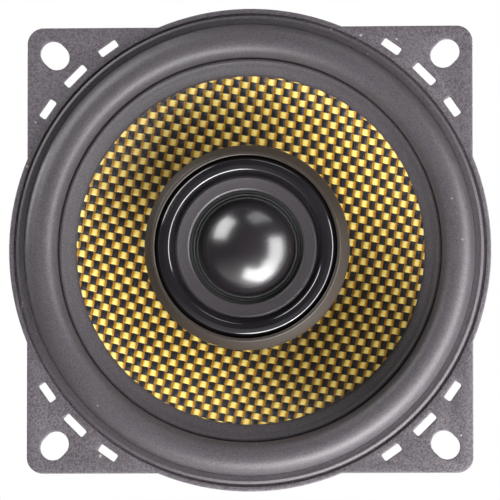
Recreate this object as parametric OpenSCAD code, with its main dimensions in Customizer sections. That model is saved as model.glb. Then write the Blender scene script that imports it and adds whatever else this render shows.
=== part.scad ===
// Coaxial car speaker of the 10 cm size: a woven-cone woofer with a dome tweeter on its axis.
// The speaker faces -Y with +Z up. The origin is on its axis, on the rear face of the flange.
// Every piece is drawn lying on its back, with the speaker's axis along Z and the front at the
// top, and facing() then turns it to look along -Y. Lengths are in millimetres.

/* [Mounting flange] */
// Half the width of the square part of the flange
flange_half = 46.4; // [45.8:0.1:47]
// Radius of the flange's corners
flange_corner_r = 3.3; // [1:0.1:5]
// Radius of the round part that bulges past the square's sides
flange_disc_r = 50.2; // [49.8:0.1:50.6]
// Thickness of the flange
flange_t = 1.5; // [1.2:0.1:2]
// Radius of the shallow seat that takes the surround's foot
seat_r = 49.2; // [49:0.1:49.3]
// Depth of that seat
seat_depth = 0.5; // [0.3:0.1:0.7]
// Distance between neighbouring screw holes
hole_spacing = 81.3; // [80.5:0.1:82]
// Width of a screw hole
hole_w = 5.25; // [4.5:0.05:5.5]
// How much longer than wide a screw hole is, along the flange's diagonal
hole_stretch = 1.1; // [0.5:0.1:1.2]
// Radius of the circle that the small rectangular slots lie on
slot_circle_r = 51.45; // [51.2:0.05:51.6]
// Angle between neighbouring slots of one corner
slot_step = 10; // [9:0.5:11]
// Width of a slot
slot_w = 1.7; // [1.2:0.1:1.8]
// Length of a corner's middle slot
middle_slot_len = 5.5; // [4:0.1:6]
// Length of a corner's two outer slots
side_slot_len = 4.25; // [3:0.05:5]

/* [Basket] */
// Outer radius of the wall behind the flange, which passes the panel's cut-out
rim_r = 46.2; // [46:0.1:46.4]
// Inner radius of that wall
rim_inner_r = 45; // [44.6:0.1:45.2]
// Length of that wall
rim_len = 4.5; // [4:0.1:5.5]
// Distance from the flange's rear face to the basket's rear face
basket_depth = 25; // [25:0.1:27]
// Thickness of the basket's floor
floor_t = 2; // [1.5:0.1:2.2]
// Outer radius of the cup at the basket's rear
cup_r = 31; // [30.5:0.1:31.5]
// Depth of the ledge that the spider is glued to
ledge_depth = 17.6; // [17.4:0.1:17.8]
// Width of each of the four legs
leg_w = 17; // [16.5:0.1:18]
// Thickness of a leg
leg_t = 1.8; // [1.4:0.1:2]

/* [Motor] */
// Radius of the steel top plate and of the back plate
plate_r = 31; // [30:0.1:31.5]
// Thickness of each of those plates
plate_t = 4; // [3.5:0.1:5]
// Radius of the ferrite ring magnet
magnet_r = 35; // [33:0.1:35.2]
// Thickness of the ferrite ring magnet
magnet_t = 12; // [11:0.1:14]
// Radius of the pole
pole_r = 12.2; // [12:0.05:12.25]
// Inner radius of the woofer's coil former
former_r = 12.55; // [12.5:0.01:12.6]
// Radius of the top plate's bore
gap_r = 13.6; // [13.5:0.05:14]

/* [Cone and suspension] */
// Radius of the cone at its outer edge
cone_r = 39.4; // [39:0.1:39.5]
// Depth of the cone's neck behind the flange's rear face
neck_depth = 16; // [15.5:0.1:16]
// How many degrees the cone's slope flattens from its neck to its edge
cone_flare = 16; // [8:1:24]
// Thickness of the woven cone
cone_t = 0.6; // [0.4:0.1:0.8]
// Radius where the surround's inner land begins
land_r = 36.25; // [36:0.05:36.6]
// Inner radius of the surround's half roll
roll_inner_r = 40; // [39.8:0.1:40.2]
// Outer radius of the surround's half roll
roll_outer_r = 46.9; // [46.6:0.1:47]
// Thickness of the rubber
rubber_t = 0.8; // [0.5:0.1:1]

/* [Tweeter pod] */
// Height of the pod's front rim above the flange's rear face
pod_height = 12; // [11.5:0.1:13]
// Largest radius of the pod
pod_r = 21.25; // [21:0.05:22]
// Radius of the pod's front rim
pod_rim_r = 19.6; // [19.5:0.05:19.8]
// Radius of the dome at its foot
dome_foot_r = 9.6; // [9.4:0.05:9.6]
// Radius of the sphere that the dome is a cap of
dome_sphere_r = 11.4; // [10.5:0.1:14]
// Outer radius of the hollow threaded post
post_r = 4; // [3.8:0.05:4]

/* [Hidden] */

$fn = 128;
eps = 0.01;    // how far a cutter runs past what it cuts
gap = 0.05;    // glue line or loose fit between two pieces

// Flange
seat_z = flange_t - seat_depth;
slot_corner_r = 0.4;

// Basket
floor_z = -basket_depth + floor_t;
floor_hole_r = 17;
cup_inner_r = 28.2;
lip_r = 34.4;
lip_inner_r = 32.2;
lip_h = 0.8;
ledge_t = 1.8;
leg_angles = [45, 135, 225, 315];
terminal_leg = 315;
leg_top = [46, -6];             // radius and height where a leg's outer face starts to slope
leg_foot = [lip_r, -19];        // and where it ends
leg_dir = (leg_foot - leg_top) / norm(leg_foot - leg_top);
leg_out = [-leg_dir[1], leg_dir[0]];
leg_tilt = atan2(-leg_dir[1], leg_dir[0]);
leg_rib_w = 1.6;
leg_rib_h = 1.6;
leg_window = [6, 11];           // length and width of the terminal leg's window
leg_window_at = 5.5;            // its distance down the leg

// Motor
magnet_z = -basket_depth - plate_t;
back_z = magnet_z - magnet_t;
rear_z = back_z - plate_t;
magnet_bore_r = 16;
pole_z = -basket_depth + 0.4;
plate_chamfer = 0.6;
screw_circle_r = 24;
screw_r = 1.95;
screw_hole_r = 2.05;
screw_head_r = 3.4;
screw_head_h = 1.6;
screw_len = 5.4;
nut_pocket_r = 8.5;
nut_pocket_depth = 4.5;
washer_r = 8;
washer_t = 1;
nut_across_flats = 13;
nut_t = 3;

// Woofer's moving parts
former_t = 0.15;
former_outer_r = former_r + former_t;
former_top = -13;
coil_len = 9;
coil_t = 0.5;
coil_mid = -basket_depth - plate_t / 2;
cone_edge_z = 0.4;
neck_r = former_outer_r + gap;
neck = [neck_r, -neck_depth];
edge = [cone_r, cone_edge_z];
chord = norm(edge - neck);
cone_arc_r = chord / 2 / sin(cone_flare / 2);
cone_arc_c = (neck + edge) / 2
    + cone_arc_r * cos(cone_flare / 2) * [edge[1] - neck[1], neck[0] - edge[0]] / chord;

// Suspension
roll_mid_r = (roll_inner_r + roll_outer_r) / 2;
roll_r = (roll_outer_r - roll_inner_r) / 2;
roll_z = 1.7;
foot_r = 48.7;
spider_t = 0.45;
spider_outer_r = 31.9;
wave_from = 15.6;
wave_to = 27.6;
wave_count = 4;
wave_h = 0.8;
spider_mid_z = -ledge_depth + spider_t / 2 + gap;

// Leads
tinsel_r = 0.4;
wire_r = 0.6;
joint_at = 21.3;                // radius on the cone's back where a tinsel lead ends
joint_r = 1.3;
tab_w_plus = 4.8;
tab_w_minus = 2.8;
tab_t = 0.8;
tab_side_plus = -3.3;           // sideways place of each tab on its board
tab_side_minus = 3.6;
tab_len = 8;
board_size = [14, 13, 1.2];
board_at = 2.5;                 // distance of the board's top edge down the leg
tab_base_at = 6.2;
tab_base_len = 6.7;
eyelet_at = 8.2;
eyelet_r = 0.9;
eyelet_head_r = 1.4;
eyelet_head_h = 0.5;
rivet_at = [4.2, 14.5];
rivet_r = 1;
rivet_head_r = 1.5;
rivet_head_h = 0.7;
capacitor_r = 4.2;
capacitor_len = 13;
capacitor_at = [0, -36.2, -24.4];
capacitor_stub = 2;

// Route of each lead, in its own order from start to end
tinsel_route = [
    [39.6, -11.5], [36.7, -12.7], [33, -14.4], [29, -14.8], [25, -13.6], [22.6, -12]
];
jumper_route = [
    [26.5, -31.1, -15.9], [23.9, -34.1, -16.2], [22, -35.8, -19.2], [17.5, -37, -22.4],
    [13, -36.8, -24.2], [8.6, -36.2, -24.4]
];
rise_route = [[0.7, 0, -40], [0.7, 0, -28], [0.7, 0, -14], [0.7, 0, -3], [0.8, 0, 0.8],
    [3, 0, 1.9], [7, 0, 1.9], [12.2, 0, 1.9], [14.5, 0, 2.9], [14.8, 0, 5], [14.8, 0, 7.8]];
plus_route = concat(
    [[-8.6, -36.2, -24.4], [-12, -36.4, -25], [-14.3, -35.2, -28], [-14.4, -33.3, -33],
     [-14.2, -33.1, -40], [-12.6, -30.5, -45.9], [-10, -24, -46], [-5, -12, -46],
     [-1.6, -3, -46.4], [-0.7, -0.3, -44.6]],
    [for (p = rise_route) [-p[0], p[1], p[2]]]
);
minus_route = concat(
    [[31.4, -26.2, -15.9], [34.3, -23.8, -16.2], [34, -22, -20.5], [32.4, -19.6, -26],
     [31.4, -18.3, -33], [31.2, -18.2, -40], [28.6, -16.6, -45.9], [22, -12.6, -46],
     [10, -6, -46], [2.8, -1.4, -46.4], [0.7, 0, -44.6]],
    rise_route
);

// Tweeter, heights above the flange's rear face
pod_shoulder_z = pod_height - 2.6;
pod_side_z = pod_shoulder_z - 1;
pod_floor_z = -0.8;
pod_inside_z = 1.2;
yoke_seat_z = 2.6;
ledge_z = pod_height - 3.5;
socket_r = 18.95;
pod_foot_r = 9;
ring_inner_r = 15.5;
ring_outer_r = 18.85;
ring_round_r = 2;
face_inner_r = 11.8;
face_outer_r = 14.75;
face_flange_r = 17.2;
face_lip_r = 11.2;
face_z = pod_height - 1.2;
face_flange_t = 1;
face_bevel = 0.25;
dome_z = ledge_z + 0.3;
dome_t = 0.3;
dome_ring_r = 9.9;
dome_centre_z = dome_z - sqrt(pow(dome_sphere_r, 2) - pow(dome_foot_r, 2));
cap_r = 12.6;
cap_inner_r = 10.4;
cap_top_z = ledge_z - 0.5;
cap_floor_t = 1.4;
disc_magnet_r = 8.4;
disc_magnet_t = 2.4;
pole_plate_r = 9.1;
pole_plate_t = 1.4;
tweeter_coil_r = 9.5;
tweeter_coil_t = 0.35;
tweeter_coil_z = 5;
felt_r = 6;
felt_t = 1.5;
post_bore_r = 2.2;
sleeve_r = 6.5;
post_end_z = rear_z + 0.2;

// Turns a piece from lying on its back to facing -Y
module facing() rotate([90, 0, 0]) children();

// Puts children on the outer face of the leg at an angle: X down the leg, Z out of it
module on_leg(angle)
    rotate([0, 0, angle]) translate([leg_top[0], 0, leg_top[1]]) rotate([0, leg_tilt, 0])
        children();

// Ring between two radii and two heights
module ring(outer, inner, low, high) {
    translate([0, 0, low]) difference() {
        cylinder(r = outer, h = high - low);
        translate([0, 0, -eps]) cylinder(r = inner, h = high - low + 2 * eps);
    }
}

// Flat rectangle with rounded corners
module rounded_rectangle(length, width, r) {
    square([length - 2 * r, width], center = true);
    square([length, width - 2 * r], center = true);
    for (x = [-1, 1], y = [-1, 1])
        translate([x * (length / 2 - r), y * (width / 2 - r)]) circle(r = r);
}

// Points along an arc
function arc(c, r, from, to, steps) =
    [for (i = [0:steps]) let(a = from + (to - from) * i / steps) c + r * [cos(a), sin(a)]];

// A list in the opposite order
function reversed(list) = [for (i = [len(list) - 1:-1:0]) list[i]];

// Height of the cone's front surface at a radius
function cone_z(r) = cone_arc_c[1] + sqrt(pow(cone_arc_r, 2) - pow(r - cone_arc_c[0], 2));

// Points of the cone's front surface between two radii, raised by a distance
function cone_line(from, to, raise, steps = 10) =
    [for (i = [0:steps]) let(r = from + (to - from) * i / steps) [r, cone_z(r) + raise]];

// A smooth line through points: Catmull-Rom curves, each cut into a number of steps
function curve_at(a, b, c, d, t) =
    b + t / 2 * (c - a) + t * t / 2 * (2 * a - 5 * b + 4 * c - d)
    + t * t * t / 2 * (3 * b - a - 3 * c + d);
function smooth(p, steps) = concat(
    [for (i = [0:len(p) - 2], k = [0:steps - 1])
        curve_at(p[max(i - 1, 0)], p[i], p[i + 1], p[min(i + 2, len(p) - 1)], k / steps)],
    [p[len(p) - 1]]);
function unit(v) = v / norm(v);
function square_to(v, t) = unit(v - (v * t) * t);

// A round wire swept along a smooth line through points
module wire(points, r, steps, side_dir, sides = 8) {
    line = smooth(points, steps);
    last = len(line) - 1;
    dirs = [for (i = [0:last]) unit(line[min(i + 1, last)] - line[max(i - 1, 0)])];
    sideways = [for (i = 0, u = square_to(side_dir, dirs[0]); i <= last;
        u = i < last ? square_to(u, dirs[i + 1]) : u, i = i + 1) u];
    rings = [for (i = [0:last], k = [0:sides - 1])
        let(a = 360 * k / sides, u = sideways[i], v = cross(dirs[i], u))
        line[i] + r * (cos(a) * u + sin(a) * v)];
    walls = [for (i = [0:last - 1], k = [0:sides - 1])
        let(a = i * sides + k, b = i * sides + (k + 1) % sides)
        each [[a, a + sides, b + sides], [a, b + sides, b]]];
    start = [for (k = [0:sides - 1]) k];
    end = [for (k = [sides - 1:-1:0]) last * sides + k];
    polyhedron(points = rings, faces = concat(walls, [start, end]));
}

// Every flange opening of one corner, with that corner on the +X side
module corner_openings() {
    hole_at = hole_spacing / sqrt(2);
    translate([hole_at, 0]) {
        for (side = [-1, 1]) translate([side * hole_stretch / 2, 0]) circle(d = hole_w);
        square([hole_stretch, hole_w], center = true);
    }
    for (step = [-1:1]) rotate(step * slot_step) translate([slot_circle_r, 0])
        rounded_rectangle(slot_w, step == 0 ? middle_slot_len : side_slot_len, slot_corner_r);
}

module flange_plate() {
    difference() {
        linear_extrude(flange_t) difference() {
            union() {
                circle(r = flange_disc_r);
                rounded_rectangle(2 * flange_half, 2 * flange_half, flange_corner_r);
            }
            for (angle = leg_angles) rotate(angle) corner_openings();
            circle(r = rim_inner_r);
        }
        translate([0, 0, seat_z]) cylinder(r = seat_r, h = flange_t);
    }
}

// Side view of a leg, from the rim wall down to the cup
module leg_side() {
    rim_lap = 3;
    polygon([
        [leg_top[0], -rim_lap], leg_top, leg_foot, [lip_inner_r + 0.4, -ledge_depth - ledge_t],
        leg_foot - leg_t * leg_out, leg_top - leg_t * leg_out,
        [leg_top[0] - leg_t * leg_out[0], -rim_lap]
    ]);
}

module legs() {
    for (angle = leg_angles) {
        rotate([0, 0, angle]) rotate([90, 0, 0])
            linear_extrude(leg_w, center = true) leg_side();
        for (side = [-1, 1]) on_leg(angle)
            translate([0, side * (leg_w - leg_rib_w) / 2 - leg_rib_w / 2, -eps])
                cube([norm(leg_foot - leg_top), leg_rib_w, leg_rib_h + eps]);
    }
}

module cup() {
    rotate_extrude() polygon([
        [floor_hole_r, -basket_depth], [cup_r, -basket_depth],
        [cup_r, -ledge_depth - 2.6], [lip_r, -ledge_depth - ledge_t],
        [lip_r, -ledge_depth + lip_h], [lip_inner_r, -ledge_depth + lip_h],
        [lip_inner_r, -ledge_depth], [cup_inner_r, -ledge_depth],
        [cup_inner_r, floor_z], [floor_hole_r, floor_z]
    ]);
}

module basket() {
    color("#57525a") facing() difference() {
        union() {
            flange_plate();
            ring(rim_r, rim_inner_r, -rim_len, seat_z);
            cup();
            intersection() {
                legs();
                translate([0, 0, -basket_depth]) cylinder(r = rim_r, h = basket_depth);
            }
        }
        for (angle = leg_angles) rotate([0, 0, angle])
            translate([screw_circle_r, 0, -basket_depth - eps])
                cylinder(r = screw_hole_r, h = floor_t + 2 * eps);
        on_leg(terminal_leg) {
            translate([leg_window_at, -leg_window[1] / 2, -2 * leg_t])
                cube([leg_window[0], leg_window[1], 3 * leg_t]);
            for (x = rivet_at) translate([x, 0, -2 * leg_t])
                cylinder(r = rivet_r + gap, h = 3 * leg_t);
        }
    }
}

module surround() {
    under = roll_r - rubber_t;
    color("#4b474e") facing() rotate_extrude() polygon(concat(
        [[land_r, cone_z(land_r) + gap]],
        cone_line(land_r + 0.3, cone_r + 0.1, rubber_t + gap, 4),
        arc([roll_mid_r, roll_z], roll_r, 180, 0, 30),
        [[foot_r - 0.3, roll_z + 0.25], [foot_r, roll_z], [foot_r, seat_z], [46.3, seat_z]],
        arc([roll_mid_r, roll_z], under, 0, 180, 24),
        reversed(cone_line(land_r, cone_r + 0.2, gap, 4))
    ));
}

module cone() {
    color("#c9a227") facing() rotate_extrude() polygon(concat(
        cone_line(neck_r, cone_r, 0),
        reversed(cone_line(neck_r, cone_r, -cone_t))
    ));
}

module coil_former() {
    color("#c79a4b") facing()
        ring(former_outer_r, former_r, coil_mid - coil_len / 2 - 0.5, former_top);
}

module voice_coil() {
    color("#a6521f") facing() ring(former_outer_r + coil_t, former_outer_r,
        coil_mid - coil_len / 2, coil_mid + coil_len / 2);
}

// Height of the spider's middle surface at a radius
function spider_z(r) = spider_mid_z + (r > wave_from && r < wave_to
    ? wave_h * sin(360 * wave_count * (r - wave_from) / (wave_to - wave_from)) : 0);

module spider() {
    steps = 48;
    wave = [for (i = [0:steps])
        let(r = wave_from + (wave_to - wave_from) * i / steps) [r, spider_z(r)]];
    middle = concat([[neck_r, spider_mid_z]], wave, [[spider_outer_r, spider_mid_z]]);
    half = [0, spider_t / 2];
    color("#b58a3c") facing() rotate_extrude() polygon(concat(
        [for (p = middle) p + half], [for (p = reversed(middle)) p - half]));
}

module top_plate() {
    color("#8d9096") facing() difference() {
        ring(plate_r, gap_r, magnet_z, -basket_depth);
        for (angle = leg_angles) rotate([0, 0, angle]) translate([screw_circle_r, 0, magnet_z])
            translate([0, 0, -eps]) cylinder(r = screw_hole_r, h = plate_t + 2 * eps);
    }
}

module ring_magnet() {
    chamfer = 1;
    color("#2f3033") facing() rotate_extrude() polygon([
        [magnet_bore_r, back_z], [magnet_r - chamfer, back_z], [magnet_r, back_z + chamfer],
        [magnet_r, magnet_z - chamfer], [magnet_r - chamfer, magnet_z],
        [magnet_bore_r, magnet_z]
    ]);
}

module pole_yoke() {
    bore_r = post_r + 0.2;
    pocket_z = rear_z + nut_pocket_depth;
    color("#8d9096") facing() rotate_extrude() polygon([
        [nut_pocket_r, rear_z], [plate_r - plate_chamfer, rear_z],
        [plate_r, rear_z + plate_chamfer], [plate_r, back_z], [pole_r, back_z],
        [pole_r, pole_z - plate_chamfer], [pole_r - plate_chamfer, pole_z], [bore_r, pole_z],
        [bore_r, pocket_z], [nut_pocket_r, pocket_z]
    ]);
}

module motor_screws() {
    socket_af = 2.5;
    color("#b9bcc2") facing() for (angle = leg_angles) rotate([0, 0, angle])
        translate([screw_circle_r, 0, floor_z]) difference() {
            union() {
                cylinder(r = screw_head_r, h = screw_head_h);
                translate([0, 0, -screw_len]) cylinder(r = screw_r, h = screw_len + eps);
            }
            translate([0, 0, screw_head_h / 2])
                cylinder(d = socket_af / cos(30), h = screw_head_h, $fn = 6);
        }
}

module terminal_board() {
    color("#7a4a22") facing() on_leg(terminal_leg) difference() {
        translate([board_at, -board_size[1] / 2, 0]) cube(board_size);
        for (y = [tab_side_plus, tab_side_minus]) translate([eyelet_at, y, -eps])
            cylinder(r = eyelet_r + gap, h = board_size[2] + 2 * eps);
        for (x = rivet_at) translate([x, 0, -eps])
            cylinder(r = rivet_r + gap, h = board_size[2] + 2 * eps);
    }
}

// A spade terminal: a base riveted to the board and a blade that stands off it
module terminal_tab(side, width) {
    base_z = board_size[2];
    blade_x = tab_base_at + tab_base_len - tab_t;
    nose = width / 4;
    facing() on_leg(terminal_leg) translate([0, side, base_z]) difference() {
        union() {
            translate([tab_base_at, -width / 2, 0]) cube([tab_base_len, width, tab_t]);
            translate([blade_x, 0, 0]) rotate([90, 0, 90]) linear_extrude(tab_t) polygon([
                [-width / 2, 0], [width / 2, 0], [width / 2, tab_len - nose],
                [width / 2 - nose, tab_len], [nose - width / 2, tab_len],
                [-width / 2, tab_len - nose]
            ]);
        }
        translate([eyelet_at, 0, -eps]) cylinder(r = eyelet_r + gap, h = tab_t + 2 * eps);
        translate([blade_x - eps, 0, tab_len / 2]) rotate([0, 90, 0])
            cylinder(r = width / 7, h = tab_t + 2 * eps);
    }
}

module terminal_tab_plus() color("#c9ccd1") terminal_tab(tab_side_plus, tab_w_plus);

module terminal_tab_minus() color("#c9ccd1") terminal_tab(tab_side_minus, tab_w_minus);

// A rivet with a head at each end, clamping a stack of a given thickness
module rivet(r, head_r, head_h, stack) {
    cylinder(r = r, h = stack);
    translate([0, 0, stack]) cylinder(r = head_r, h = head_h);
    translate([0, 0, -head_h]) cylinder(r = head_r, h = head_h);
}

module terminal_eyelets() {
    color("#c8b36a") facing() on_leg(terminal_leg)
        for (y = [tab_side_plus, tab_side_minus]) translate([eyelet_at, y, 0])
            rivet(eyelet_r, eyelet_head_r, eyelet_head_h, board_size[2] + tab_t);
}

module board_rivets() {
    color("#b9bcc2") facing() on_leg(terminal_leg) for (x = rivet_at)
        translate([x, 0, -leg_t])
            rivet(rivet_r, rivet_head_r, rivet_head_h, leg_t + board_size[2]);
}

module tinsel_leads() {
    steps = 4;
    color("#c98f5a") facing() rotate([0, 0, terminal_leg])
        for (side = [tab_side_plus, tab_side_minus])
            wire([for (p = tinsel_route) [p[0], side, p[1]]], tinsel_r, steps, [0, 1, 0]);
}

module lead_joints() {
    color("#222222") facing() rotate([0, 0, terminal_leg]) difference() {
        for (side = [tab_side_plus, tab_side_minus])
            translate([joint_at, side, cone_z(joint_at) - cone_t])
                cylinder(r1 = joint_r / 2, r2 = joint_r, h = 2 * joint_r, center = true);
        rotate_extrude() polygon(concat(
            cone_line(neck_r, cone_r, -cone_t - gap), [[cone_r, 5], [neck_r, 5]]));
    }
}

module capacitor_shape() translate(capacitor_at) rotate([0, 90, 0])
    cylinder(r = capacitor_r, h = capacitor_len, center = true);

module crossover_capacitor() {
    stub_r = 0.35;
    groove_at = 0.8;
    groove_r = 0.35;
    color("#27406b") facing() {
        difference() {
            capacitor_shape();
            for (end = [-1, 1])
                translate(capacitor_at + [end * (capacitor_len / 2 - groove_at), 0, 0])
                    rotate([0, 90, 0]) rotate_extrude() translate([capacitor_r, 0])
                        circle(r = groove_r, $fn = 24);
        }
        translate(capacitor_at) rotate([0, 90, 0]) cylinder(r = stub_r,
            h = capacitor_len + 2 * capacitor_stub, center = true);
    }
}

module capacitor_glue() {
    size = [9, 4, 5];
    color("#d9d2b8") facing() difference() {
        translate([-size[0] / 2, capacitor_at[1] + 1, -basket_depth - plate_t / 2])
            cube([size[0], -cup_r - capacitor_at[1], size[2]]);
        capacitor_shape();
        translate([0, 0, magnet_z]) cylinder(r = cup_r + gap, h = basket_depth);
    }
}

module capacitor_lead() color("#b3201c") facing() wire(jumper_route, wire_r, 4, [0, 0, 1]);

module tweeter_lead_plus() color("#b3201c") facing() wire(plus_route, wire_r, 3, [1, 0, 0]);

module tweeter_lead_minus() color("#1d1d1f") facing() wire(minus_route, wire_r, 3, [1, 0, 0]);

module tweeter_post() color("#b9bcc2") facing()
    ring(post_r, post_bore_r, post_end_z, pod_inside_z);

module post_sleeve() color("#2a2a2c") facing()
    ring(sleeve_r, post_r + gap, pole_z, pod_floor_z);

module post_washer() color("#b9bcc2") facing() ring(washer_r, post_r + 0.2,
    rear_z + nut_pocket_depth - washer_t, rear_z + nut_pocket_depth);

module post_nut() {
    top = rear_z + nut_pocket_depth - washer_t;
    color("#c8b36a") facing() translate([0, 0, top - nut_t]) difference() {
        cylinder(d = nut_across_flats / cos(30), h = nut_t, $fn = 6);
        translate([0, 0, -eps]) cylinder(r = post_r + gap, h = nut_t + 2 * eps);
    }
}

module pod_housing() {
    bowl = 60;                  // angle that the bowl's round side turns through
    bowl_r = 10.4;
    slot_wide = 3;              // slot in the floor that the two leads run out through
    slot_long = 31;
    color("#3a3633") facing() difference() {
        rotate_extrude() polygon(concat(
            [[pod_rim_r, pod_height], [pod_r, pod_shoulder_z]],
            arc([pod_r - bowl_r, pod_side_z], bowl_r, 0, -bowl, 10),
            [[pod_foot_r, pod_floor_z], [post_r + gap, pod_floor_z],
             [post_r + gap, pod_inside_z], [10.6, pod_inside_z], [10.6, yoke_seat_z],
             [cap_r + gap, yoke_seat_z], [cap_r + gap, 3.6], [13.4, 3.6], [13.4, 3],
             [15.2, 3.4], [17, 6], [17, ledge_z], [socket_r, ledge_z],
             [socket_r, pod_height]]
        ));
        translate([0, 0, yoke_seat_z]) cube([slot_long, slot_wide,
            2 * (yoke_seat_z - pod_inside_z)], center = true);
    }
}

module trim_ring() {
    mid_r = (ring_inner_r + ring_outer_r) / 2;
    seat = ledge_z + face_flange_t;
    color("#141316") facing() rotate_extrude() intersection() {
        translate([ring_inner_r, seat])
            square([ring_outer_r - ring_inner_r, pod_height - seat]);
        union() {
            translate([mid_r, pod_height - ring_round_r]) circle(r = ring_round_r);
            translate([ring_inner_r, seat])
                square([ring_outer_r - ring_inner_r, pod_height - ring_round_r - seat + 0.9]);
        }
    }
}

module faceplate() {
    flange_z = ledge_z + face_flange_t;
    color("#4d484c") facing() rotate_extrude() polygon([
        [face_lip_r, ledge_z + gap], [face_flange_r, ledge_z + gap],
        [face_flange_r, flange_z - gap], [face_outer_r, flange_z - gap],
        [face_outer_r, face_z - face_bevel], [face_outer_r - face_bevel, face_z],
        [face_inner_r + face_bevel, face_z], [face_inner_r, face_z - face_bevel],
        [face_inner_r, flange_z - 0.3], [face_lip_r, flange_z - 0.3]
    ]);
}

module dome_suspension() {
    t = 0.2;
    from = dome_ring_r + gap;
    mid_r = (from + face_lip_r) / 2;
    r = (face_lip_r - from) / 2 - gap;
    foot_z = cap_top_z + gap;
    color("#1c1a1d") facing() rotate_extrude() polygon(concat(
        [[from, dome_z - t]], [[from, dome_z]],
        arc([mid_r, dome_z], r, 180, 0, 12),
        [[face_lip_r - gap, dome_z - 0.3], [cap_r - 0.1, ledge_z - gap],
         [cap_r - 0.1, foot_z], [cap_inner_r + 0.4, foot_z]],
        arc([mid_r, dome_z], r - t, 0, 180, 10)
    ));
}

module tweeter_dome() {
    color("#1a191c") facing() {
        difference() {
            translate([0, 0, dome_centre_z]) sphere(r = dome_sphere_r);
            translate([0, 0, dome_centre_z]) sphere(r = dome_sphere_r - dome_t);
            translate([0, 0, dome_z - 2 * dome_sphere_r])
                cylinder(r = 2 * dome_sphere_r, h = 2 * dome_sphere_r);
        }
        ring(dome_ring_r, dome_foot_r - 0.4, dome_z - dome_t, dome_z + eps);
    }
}

module tweeter_coil() {
    color("#a6521f") facing() ring(tweeter_coil_r + tweeter_coil_t, tweeter_coil_r,
        tweeter_coil_z, dome_z - dome_t);
}

module tweeter_yoke() {
    color("#8d9096") facing() difference() {
        translate([0, 0, yoke_seat_z]) cylinder(r = cap_r, h = cap_top_z - yoke_seat_z);
        translate([0, 0, yoke_seat_z + cap_floor_t]) cylinder(r = cap_inner_r, h = cap_top_z);
    }
}

module tweeter_magnet() {
    color("#b9bcc2") facing() translate([0, 0, yoke_seat_z + cap_floor_t])
        cylinder(r = disc_magnet_r, h = disc_magnet_t);
}

module tweeter_pole_plate() {
    color("#8d9096") facing() translate([0, 0, yoke_seat_z + cap_floor_t + disc_magnet_t])
        cylinder(r = pole_plate_r, h = pole_plate_t);
}

module dome_felt() {
    color("#6b675f") facing()
        translate([0, 0, yoke_seat_z + cap_floor_t + disc_magnet_t + pole_plate_t])
            cylinder(r = felt_r, h = felt_t);
}

basket();
surround();
cone();
coil_former();
voice_coil();
spider();
top_plate();
ring_magnet();
pole_yoke();
motor_screws();
terminal_board();
terminal_tab_plus();
terminal_tab_minus();
terminal_eyelets();
board_rivets();
tinsel_leads();
lead_joints();
crossover_capacitor();
capacitor_glue();
capacitor_lead();
tweeter_lead_plus();
tweeter_lead_minus();
tweeter_post();
post_sleeve();
post_washer();
post_nut();
pod_housing();
trim_ring();
faceplate();
dome_suspension();
tweeter_dome();
tweeter_coil();
tweeter_yoke();
tweeter_magnet();
tweeter_pole_plate();
dome_felt();
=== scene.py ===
# %% [markdown]
# A coaxial car speaker: a small woofer with a woven cone, and a dome tweeter standing in the
# middle of it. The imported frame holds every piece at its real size. This lesson builds better
# looking pieces around that frame: turned parts, a cone of real woven relief, stranded leads
# and a material for every finish. The frame is loaded first, because all places come from it.

# %% Load the frame
import math

import bmesh
import bpy
import numpy as np
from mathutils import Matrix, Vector


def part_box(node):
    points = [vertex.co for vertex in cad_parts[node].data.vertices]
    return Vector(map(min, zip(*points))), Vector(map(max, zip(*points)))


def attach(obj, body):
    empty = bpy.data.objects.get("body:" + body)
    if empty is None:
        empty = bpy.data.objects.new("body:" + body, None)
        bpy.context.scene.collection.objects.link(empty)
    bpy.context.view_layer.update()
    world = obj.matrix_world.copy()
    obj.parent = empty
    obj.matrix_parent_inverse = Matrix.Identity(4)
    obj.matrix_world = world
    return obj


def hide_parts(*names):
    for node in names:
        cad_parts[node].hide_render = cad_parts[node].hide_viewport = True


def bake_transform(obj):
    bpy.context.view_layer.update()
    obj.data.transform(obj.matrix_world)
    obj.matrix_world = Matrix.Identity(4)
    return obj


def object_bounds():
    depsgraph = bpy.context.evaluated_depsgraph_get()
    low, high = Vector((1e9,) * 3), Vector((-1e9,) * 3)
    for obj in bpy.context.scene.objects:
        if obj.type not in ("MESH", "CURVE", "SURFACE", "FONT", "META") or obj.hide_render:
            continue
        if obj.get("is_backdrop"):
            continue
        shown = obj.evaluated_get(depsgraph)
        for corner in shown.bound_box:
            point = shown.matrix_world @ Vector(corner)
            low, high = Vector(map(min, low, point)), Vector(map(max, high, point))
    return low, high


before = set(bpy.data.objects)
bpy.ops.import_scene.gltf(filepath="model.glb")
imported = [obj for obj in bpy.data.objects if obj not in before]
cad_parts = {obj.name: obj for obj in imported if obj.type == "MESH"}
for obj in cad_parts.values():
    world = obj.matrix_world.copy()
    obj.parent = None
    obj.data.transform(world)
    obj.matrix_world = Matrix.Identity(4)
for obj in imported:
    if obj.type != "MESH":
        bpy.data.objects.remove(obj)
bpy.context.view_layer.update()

# %% [markdown]
# A speaker is easiest to describe lying on its back: radius and height above the flange's rear
# face, in millimetres, with the listener above. The real frame faces -Y. One small function
# turns a drawing point into a place in the frame, and another reads a node's outline from its
# box: its outer radius, its rear height and its front height.

# %% From drawing to frame
MM = 0.001


def facing(x, y, z):
    return Vector((x, -z, y)) * MM


def outline_of(node):
    low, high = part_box(node)
    return high.x / MM, -high.y / MM, -low.y / MM


flange_r, basket_rear, flange_front = outline_of("basket")
print("flange radius %.2f, basket from %.1f to %.1f mm" % (flange_r, basket_rear, flange_front))

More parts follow.
